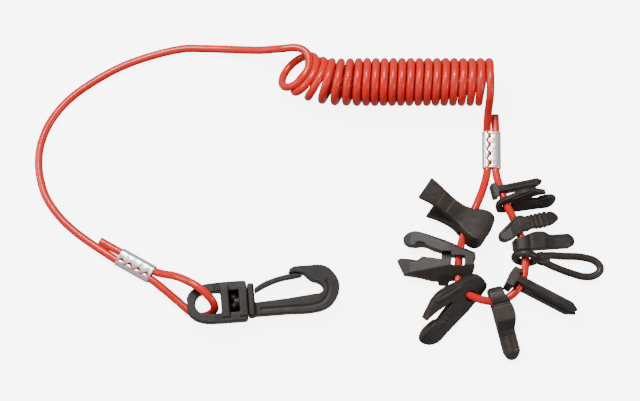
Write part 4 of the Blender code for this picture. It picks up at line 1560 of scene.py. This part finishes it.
@dataclass
class BroadFork(SwitchKey):
    """Broad fork with two swollen prongs, a raised ridge and a row of small pips beside the slot."""

    back: float = 0.0
    aside: float = 0.0
    side_up: float = 1.0

    def shape(self) -> bpy.types.Object:
        """Build the solids."""
        k, up, nylon = self.size, self.side_up, self.nylon.material()
        plan = scaled((
            (-0.0078, -0.0034, "smooth"), (-0.0062, 0.0018, "smooth"), (0.0045, 0.0066),
            (0.0130, 0.0094, "smooth"), (0.0182, 0.0092, "smooth"), (0.0240, 0.0066, "smooth"),
            (0.0284, 0.0042), (0.0278, 0.0033), (0.0200, 0.0024), (0.0124, 0.0010), (0.0122, -0.0003),
            (0.0196, -0.0018), (0.0226, -0.0028), (0.0250, -0.0014), (0.0325, -0.0018, "smooth"),
            (0.0360, -0.0044, "smooth"), (0.0352, -0.0080, "smooth"), (0.0308, -0.0114, "smooth"),
            (0.0250, -0.0120), (0.0080, -0.0108), (-0.0034, -0.0088), (-0.0070, -0.0072, "smooth"),
        ), k)
        side = scaled((
            (-0.0080, -0.0018), (-0.0080, 0.0018), (0.0230, 0.0018), (0.0290, 0.0024, "smooth"),
            (0.0340, 0.0018, "smooth"), (0.0366, 0.0006), (0.0366, -0.0008), (0.0330, -0.0018),
        ), k)
        body = Mould.crossed(mirrored(plan, up), side, 0.03 * k, 0.02 * k)
        ridge = Mould.block((0.0150 * k, 0.0012 * k, 0.0012 * k), (0.0, 0.0, 0.0))
        for face in (1.0, -1.0):
            place = (0.0166 * k, -0.0044 * k * up, face * 0.0018 * k)
            pip = Mould.ball((0.0014 * k, 0.0014 * k, 0.0012 * k), place)
            pips = Row.of(pip, 4, (0.0025 * k, -0.0004 * k * up, face * 0.00006), nylon)
            body = Mould.change(body, pips, "UNION")
            heel = (0.0232 * k, -0.0032 * k * up, face * 0.0021 * k)
            body = Mould.scored(body, heel, (heel[0], -0.0110 * k * up, heel[2]), 0.0008 * k, 0.0007)
        line = Matrix.Rotation(math.radians(14.0 * up), 4, "Z")
        ridge.data.transform(Matrix.Translation((0.0110 * k, 0.0058 * k * up, 0.0018 * k)) @ line)
        body = Mould.together("broad_fork", [body, ridge])
        body.data.transform(Matrix.Translation((-self.back, self.aside * up, 0.0)))
        return body


@dataclass
class PadKey(SwitchKey):
    """Blade with a bent strap over the cord, a creased pad and a sunk panel along the blade."""

    back: float = 0.0

    def shape(self) -> bpy.types.Object:
        """Build the solids."""
        k = self.size
        plan = scaled((
            (-0.0072, -0.0036), (-0.0064, -0.0044), (0.0252, -0.0047), (0.0288, -0.0026, "smooth"),
            (0.0292, 0.0008, "smooth"), (0.0260, 0.0036), (0.0148, 0.0037), (0.0095, 0.0052, "smooth"),
            (0.0050, 0.0053, "smooth"), (0.0000, 0.0040, "smooth"), (-0.0025, 0.0028), (-0.0064, 0.0026),
            (-0.0072, 0.0018),
        ), k)
        side = scaled((
            (-0.0074, -0.0048), (-0.0074, 0.0014), (-0.0058, 0.0040, "smooth"), (-0.0028, 0.0052, "smooth"),
            (0.0004, 0.0049, "smooth"), (0.0016, 0.0036), (0.0030, 0.0046), (0.0104, 0.0046),
            (0.0146, 0.0006), (0.0162, -0.0002), (0.0258, -0.0006), (0.0294, -0.0024), (0.0294, -0.0048),
        ), k)
        body = Mould.crossed(plan, side, 0.02 * k, 0.02 * k)
        panel = scaled((
            (0.0168, -0.0034), (0.0168, 0.0024), (0.0246, 0.0022), (0.0268, 0.0004, "smooth"),
            (0.0266, -0.0018, "smooth"), (0.0244, -0.0034),
        ), k)
        sunk = Mould.outline(panel, 0.0012 * k, Matrix.Translation((0.0, 0.0, -0.0002 * k)))
        body = Mould.change(body, sunk, "DIFFERENCE")
        rib = Mould.block((0.0086 * k, 0.0010 * k, 0.0006 * k), (0.0212 * k, -0.0004 * k, -0.0008 * k))
        start, end = (0.0034 * k, 0.0010 * k, 0.0046 * k), (0.0102 * k, 0.0014 * k, 0.0046 * k)
        body = Mould.scored(body, start, end, 0.0005, 0.0005)
        start, end = (-0.0046 * k, -0.0050 * k, 0.0050 * k), (-0.0046 * k, 0.0034 * k, 0.0050 * k)
        body = Mould.scored(body, start, end, 0.0005, 0.0006)
        body = Mould.together("pad_key", [body, rib])
        body.data.transform(Matrix.Translation((-self.back, 0.0, 0.0)))
        return body


@dataclass
class RibbedKey(SwitchKey):
    """Small key with a slanting lobe at its root and four grooves across its back."""

    def shape(self) -> bpy.types.Object:
        """Build the solids."""
        plan = (
            (-0.0086, -0.0062, "smooth"), (-0.0097, -0.0040, "smooth"), (-0.0088, -0.0014),
            (-0.0006, 0.0036), (0.0022, 0.0041, "smooth"), (0.0046, 0.0030), (0.0072, 0.0035),
            (0.0180, 0.0031, "smooth"), (0.0212, 0.0013, "smooth"), (0.0221, -0.0007, "smooth"),
            (0.0200, -0.0025, "smooth"), (0.0165, -0.0034), (0.0112, -0.0036), (0.0096, -0.0029),
            (0.0078, -0.0029), (0.0064, -0.0036), (0.0020, -0.0034), (-0.0034, -0.0062, "smooth"),
        )
        side = (
            (-0.0105, -0.0036), (-0.0105, 0.0020), (-0.0040, 0.0038), (0.0060, 0.0036), (0.0110, 0.0024),
            (0.0200, 0.0016, "smooth"), (0.0230, -0.0008), (0.0215, -0.0034), (0.0160, -0.0040),
        )
        body = Mould.crossed(plan, side, 0.02, 0.02)
        nylon = self.nylon.material()
        groove = Mould.block((0.0011, 0.0200, 0.0018), (0.0068, 0.0, 0.0036))
        body = Mould.change(body, Row.of(groove, 5, (0.0024, 0.0, -0.0004), nylon), "DIFFERENCE")
        for side_of in (0.0034, -0.0034):
            notch = Mould.rod(0.0009, 0.0200, Matrix.Translation((0.0068, side_of, 0.0)), 16)
            body = Mould.change(body, Row.of(notch, 5, (0.0024, 0.0, 0.0), nylon), "DIFFERENCE")
        body = Mould.scored(body, (-0.0088, -0.0034, 0.0030), (-0.0010, 0.0018, 0.0038), 0.0006, 0.0010)
        return Mould.scored(body, (0.0005, 0.0030, 0.0038), (0.0005, -0.0010, 0.0038), 0.0006, 0.0006)


@dataclass
class TeardropKey(SwitchKey):
    """Leaning ring eye that runs out into a flat teardrop loop of the same rod."""

    rod_width: float = 0.0038
    ring_radius: float = 0.0052
    ring_lean: float = 15.5
    sheen: Sheen = Sheen.SMOOTH

    def shape(self) -> bpy.types.Object:
        """Build the solids."""
        lean = math.radians(90.0 - self.ring_lean)
        ring = []
        for index in range(12):
            angle = index * math.pi / 6
            out, rise = self.ring_radius * math.cos(angle), self.ring_radius * math.sin(angle)
            ring.append((out, rise * math.cos(lean), rise * math.sin(lean)))
        eye = Mould.bent_rod(tuple(ring), self.rod_width, True)
        knots = (
            (0.0062, 0.0010, -0.0010), (0.0112, 0.0034, -0.0028), (0.0190, 0.0044, -0.0034),
            (0.0300, 0.0053, -0.0034), (0.0362, 0.0039, -0.0034), (0.0384, 0.0008, -0.0034),
            (0.0362, -0.0026, -0.0034), (0.0310, -0.0042, -0.0034), (0.0260, -0.0038, -0.0034),
            (0.0170, -0.0020, -0.0034), (0.0108, -0.0004, -0.0026),
        )
        loop = Mould.bent_rod(knots, self.rod_width, True)
        throat = Mould.ball((0.0080, 0.0040, 0.0034), (0.0088, 0.0012, -0.0018))
        return Mould.together("teardrop_key", [eye, loop, throat])


@dataclass
class LugFork(SwitchKey):
    """Broad fork that the cord crosses from side to side, with a window, a sunk inner wall and a side lug."""

    window: Point = (0.0066, 0.0047)

    def shape(self) -> bpy.types.Object:
        """Build the solids."""
        plan = (
            (-0.0080, -0.0040), (0.0000, -0.0075), (0.0082, -0.0104), (0.0197, -0.0131, "smooth"),
            (0.0226, -0.0133, "smooth"), (0.0268, -0.0114, "smooth"), (0.0278, -0.0092, "smooth"),
            (0.0262, -0.0067, "smooth"), (0.0217, -0.0058), (0.0186, -0.0064), (0.0161, -0.0060),
            (0.0124, -0.0044), (0.0086, -0.0034), (0.0086, 0.0004), (0.0142, -0.0004), (0.0180, -0.0009),
            (0.0206, 0.0012), (0.0225, 0.0008), (0.0290, 0.0002), (0.0306, 0.0014), (0.0270, 0.0084),
            (0.0200, 0.0092), (0.0127, 0.0108), (0.0102, 0.0108), (0.0096, 0.0127), (0.0053, 0.0129),
            (0.0042, 0.0104), (-0.0021, 0.0098), (-0.0068, 0.0072), (-0.0080, 0.0032), (-0.0074, 0.0010),
            (-0.0084, -0.0012),
        )
        side = (
            (-0.0085, -0.0036), (-0.0085, 0.0048), (0.0050, 0.0052), (0.0240, 0.0042), (0.0310, 0.0014),
            (0.0310, -0.0020), (0.0240, -0.0036),
        )
        body = Mould.crossed(plan, side, 0.04, 0.02)
        body = Mould.sliced(body, (0.0031, 0.0038, 0.0050), (0.0037, 0.0060), 0.12)
        body = Mould.sliced(body, (0.0083, -0.0086, 0.0048), (0.0044, -0.0018), -0.38)
        opening = Mould.block((self.window[0], self.window[1], 0.03), (0.0004, 0.0009, 0.0))
        body = Mould.change(body, opening, "DIFFERENCE")
        sunk_web = Mould.block((0.0049, 0.0036, 0.0060), (0.0062, -0.0015, 0.0040))
        body = Mould.change(body, sunk_web, "DIFFERENCE")
        hollow = Mould.ball((0.0056, 0.0030, 0.0012), (0.0190, -0.0064, 0.0041))
        body = Mould.change(body, hollow, "DIFFERENCE")
        corners = (
            (0.0150, -0.0004), (0.0205, 0.0020), (0.0240, 0.0022), (0.0240, -0.0010), (0.0150, -0.0020),
        )
        step = Mould.outline(corners, 0.0016)
        step.data.transform(Matrix.Translation((0.0, 0.0, 0.0044)))
        return Mould.change(body, step, "DIFFERENCE")


@dataclass
class PegKey(SwitchKey):
    """Two-leaf key like a clothes peg, with rolled rims, a split head and a long hollow in its lower leaf."""

    def shape(self) -> bpy.types.Object:
        """Build the solids."""
        plan = (
            (0.0268, -0.0065), (0.0200, -0.0055, "smooth"), (0.0150, -0.0049, "smooth"),
            (0.0100, -0.0047, "smooth"), (0.0050, -0.0052, "smooth"), (0.0010, -0.0064, "smooth"),
            (-0.0030, -0.0080, "smooth"), (-0.0078, -0.0083, "smooth"), (-0.0102, -0.0066, "smooth"),
            (-0.0108, 0.0000, "smooth"), (-0.0102, 0.0066, "smooth"), (-0.0078, 0.0083, "smooth"),
            (-0.0030, 0.0080, "smooth"), (0.0010, 0.0064, "smooth"), (0.0050, 0.0052, "smooth"),
            (0.0100, 0.0047, "smooth"), (0.0150, 0.0049, "smooth"), (0.0200, 0.0055, "smooth"),
            (0.0268, 0.0065),
        )
        side = (
            (-0.0115, -0.0046), (-0.0115, 0.0046), (-0.0100, 0.0058, "smooth"), (-0.0060, 0.0063, "smooth"),
            (-0.0010, 0.0057, "smooth"), (0.0040, 0.0050, "smooth"), (0.0100, 0.0060, "smooth"),
            (0.0190, 0.0088, "smooth"), (0.0268, 0.0100), (0.0268, 0.0078), (0.0190, 0.0064, "smooth"),
            (0.0110, 0.0028, "smooth"), (0.0068, 0.0000, "smooth"), (0.0110, -0.0022, "smooth"),
            (0.0205, -0.0052), (0.0205, -0.0076), (0.0120, -0.0058, "smooth"), (0.0050, -0.0052, "smooth"),
            (-0.0060, -0.0058, "smooth"),
        )
        body = Mould.crossed(plan, side, 0.03, 0.03)
        rim = (
            (-0.0120, 0.0037), (-0.0060, 0.0051, "smooth"), (-0.0010, 0.0045, "smooth"),
            (0.0040, 0.0038, "smooth"), (0.0100, 0.0048, "smooth"), (0.0190, 0.0076, "smooth"),
            (0.0280, 0.0091), (0.0280, 0.0083), (0.0190, 0.0067, "smooth"), (0.0100, 0.0038, "smooth"),
            (0.0040, 0.0029, "smooth"), (-0.0010, 0.0036, "smooth"), (-0.0060, 0.0042, "smooth"),
            (-0.0120, 0.0028),
        )
        inset = tuple((p[0] + 0.0004 if p[0] < 0.0 else p[0], p[1] * 0.90, *p[2:]) for p in plan)
        core = Mould.outline(inset, 0.04)
        groove = Mould.change(Mould.outline(rim, 0.04, SIDE_VIEW), core, "DIFFERENCE")
        body = Mould.change(body, groove, "DIFFERENCE")
        for height in (0.0012, -0.0016):
            split = Mould.block((0.0070, 0.0300, 0.0011), (-0.0110, 0.0, height))
            body = Mould.change(body, split, "DIFFERENCE")
        slope = Matrix.Translation((0.0122, 0.0, -0.0022)) @ Matrix.Rotation(math.radians(17.0), 4, "Y")
        hollow = (
            (-0.0062, 0.0000, "smooth"), (-0.0048, 0.0026, "smooth"), (0.0060, 0.0030), (0.0100, 0.0030),
            (0.0100, -0.0030), (0.0060, -0.0030), (-0.0048, -0.0026, "smooth"),
        )
        return Mould.change(body, Mould.outline(hollow, 0.0016, slope), "DIFFERENCE")


def switch_keys() -> list[SwitchKey]:
    """Give the ten keys in their order round the cord.

    Returns:
        The keys.
    """
    return [
        SlimFork(
            "slim_fork_key_small", "slim_fork_small_body", (0.05294, 0.03938, 0.00578),
            (-0.2527, 0.9429, -0.217),
            5.75, 14.0, -3.0, 0.0057, 0.70, voxel=0.00014, passes=2,
        ),
        BroadFork(
            "bulb_fork_key_small", "bulb_fork_small_body", (0.05542, 0.03177, 0.0064),
            (-0.3908, 0.9205, 0.0047),
            0.0, 11.0, 60.0, 0.0057, 0.70, voxel=0.00014, passes=2, aside=0.0018,
        ),
        RibbedKey(
            "ribbed_key", "ribbed_body", (0.06005, 0.02137, 0.00572), (-0.361, 0.9318, 0.0371),
            6.0, 13.0, 0.0, 0.0057, voxel=0.00014, passes=2,
        ),
        PadKey(
            "pad_key_small", "pad_small_body", (0.06315, 0.01241, 0.00618), (-0.2014, 0.9719, -0.1219),
            4.5, 6.0, 0.0, 0.0057, 0.86, voxel=0.00014, passes=2, back=-0.0014,
        ),
        TeardropKey(
            "loop_key", "loop_body", (0.06391, 0.00465, 0.00725), (-0.0083, 0.9984, -0.0551),
            3.0, -8.0, 0.0, 0.0057,
        ),
        SlimFork(
            "slim_fork_key_large", "slim_fork_large_body", (0.06143, -0.0082, 0.00736),
            (0.464, 0.8854, 0.0267),
            3.25, -27.5, -11.0, 0.0056, width=0.0038,
        ),
        PadKey(
            "pad_key_large", "pad_large_body", (0.05092, -0.01655, 0.00549), (0.9657, 0.237, 0.1065),
            1.25, -76.0, 0.0, 0.0056,
        ),
        BroadFork(
            "bulb_fork_key_large", "bulb_fork_large_body", (0.03475, -0.013, 0.00714),
            (0.8078, -0.5895, 0.0079),
            -1.0, -137.5, -44.0, 0.0056, back=0.0030, aside=0.0030, side_up=-1.0,
        ),
        LugFork(
            "lug_fork_key", "lug_fork_body", (0.03115, 0.0039, 0.00575), (-0.0876, -0.9927, -0.0825),
            5.0, 178.0, 0.0, 0.0054,
        ),
        PegKey(
            "peg_key", "peg_body", (0.03594, 0.02153, 0.01025), (-0.399, -0.9123, -0.0926),
            4.5, 148.0, 16.0, 0.0056,
        ),
    ]


# Studio


@dataclass
class Studio:
    """Paper sweep, soft lights and the camera at the photograph's angle."""

    aim: Point = (-0.0376, 0.0342, 0.0050)
    elevation: float = 78.0
    distance: float = 0.7556
    lens: float = 85.0
    sensor: float = 36.0
    sky: float = 0.33

    def floor(self) -> None:
        """Lay the paper."""
        paper = Mould.block((6.0, 6.0, 0.01), (0.0, 0.0, -0.0052))
        bpy.data.collections[Mould.SCRATCH].objects.unlink(paper)
        bpy.context.scene.collection.objects.link(paper)
        paper.name = "paper_sweep"
        paper.data.materials.append(BenchPaper().material())
        paper.visible_diffuse = False
        paper.visible_glossy = False

    def lamp(self, name: str, place: Point, size: float, watts: float, tint: Colour) -> None:
        """Hang a soft box that faces the lanyard.

        Args:
            name: Name of the light.
            place: Where it hangs.
            size: Side of the box.
            watts: Power.
            tint: Colour.
        """
        light = bpy.data.lights.new(name, "AREA")
        light.shape = "SQUARE"
        light.size = size
        light.energy = watts
        light.color = tint
        hung = bpy.data.objects.new(name, light)
        hung.location = place
        hung.rotation_euler = (Vector(self.aim) - Vector(place)).to_track_quat("-Z", "Y").to_euler()
        bpy.context.scene.collection.objects.link(hung)

    def camera(self) -> None:
        """Set the camera."""
        data = bpy.data.cameras.new("camera")
        data.lens = self.lens
        data.sensor_width = self.sensor
        data.clip_start = 0.01
        holder = bpy.data.objects.new("camera", data)
        angle = math.radians(self.elevation)
        offset = Vector((0.0, -math.cos(angle), math.sin(angle))) * self.distance
        holder.location = Vector(self.aim) + offset
        holder.rotation_euler = (-offset).to_track_quat("-Z", "Y").to_euler()
        bpy.context.scene.collection.objects.link(holder)
        bpy.context.scene.camera = holder

    def build(self) -> None:
        """Lay the floor, hang the lights and set the camera."""
        world = bpy.data.worlds.new("studio")
        world.use_nodes = True
        world.node_tree.nodes["Background"].inputs["Color"].default_value = (1.0, 1.0, 1.0, 1.0)
        world.node_tree.nodes["Background"].inputs["Strength"].default_value = self.sky
        bpy.context.scene.world = world
        self.floor()
        self.lamp("overhead", (-0.22, 0.42, 0.80), 0.36, 10.5, (1.0, 0.985, 0.965))
        self.lamp("left", (-0.85, 0.15, 0.42), 0.40, 3.2, (1.0, 0.98, 0.96))
        self.lamp("right", (0.75, -0.35, 0.45), 0.35, 2.2, (0.97, 0.985, 1.0))
        self.camera()


def main() -> None:
    """Build the studio and every piece of the lanyard."""
    logging.basicConfig(level=logging.INFO, format="%(message)s")
    Studio().build()
    cord = RedCord()
    strand = cord.build()
    sleeves = [
        CrimpSleeve("hook_end_sleeve", "ferrule_hook_side", *cord.hook_ferrule).build(),
        CrimpSleeve("key_end_sleeve", "ferrule_key_side", *cord.key_ferrule).build(),
    ]
    SwivelHook().build()
    for key in switch_keys():
        key.build()
    for left in list(Mould.bench().objects):
        LOG.info("left on the bench: %s", left.name)
        bpy.data.objects.remove(left, do_unlink=True)
    bpy.data.collections.remove(Mould.bench())


if __name__ == "__main__":
    main()
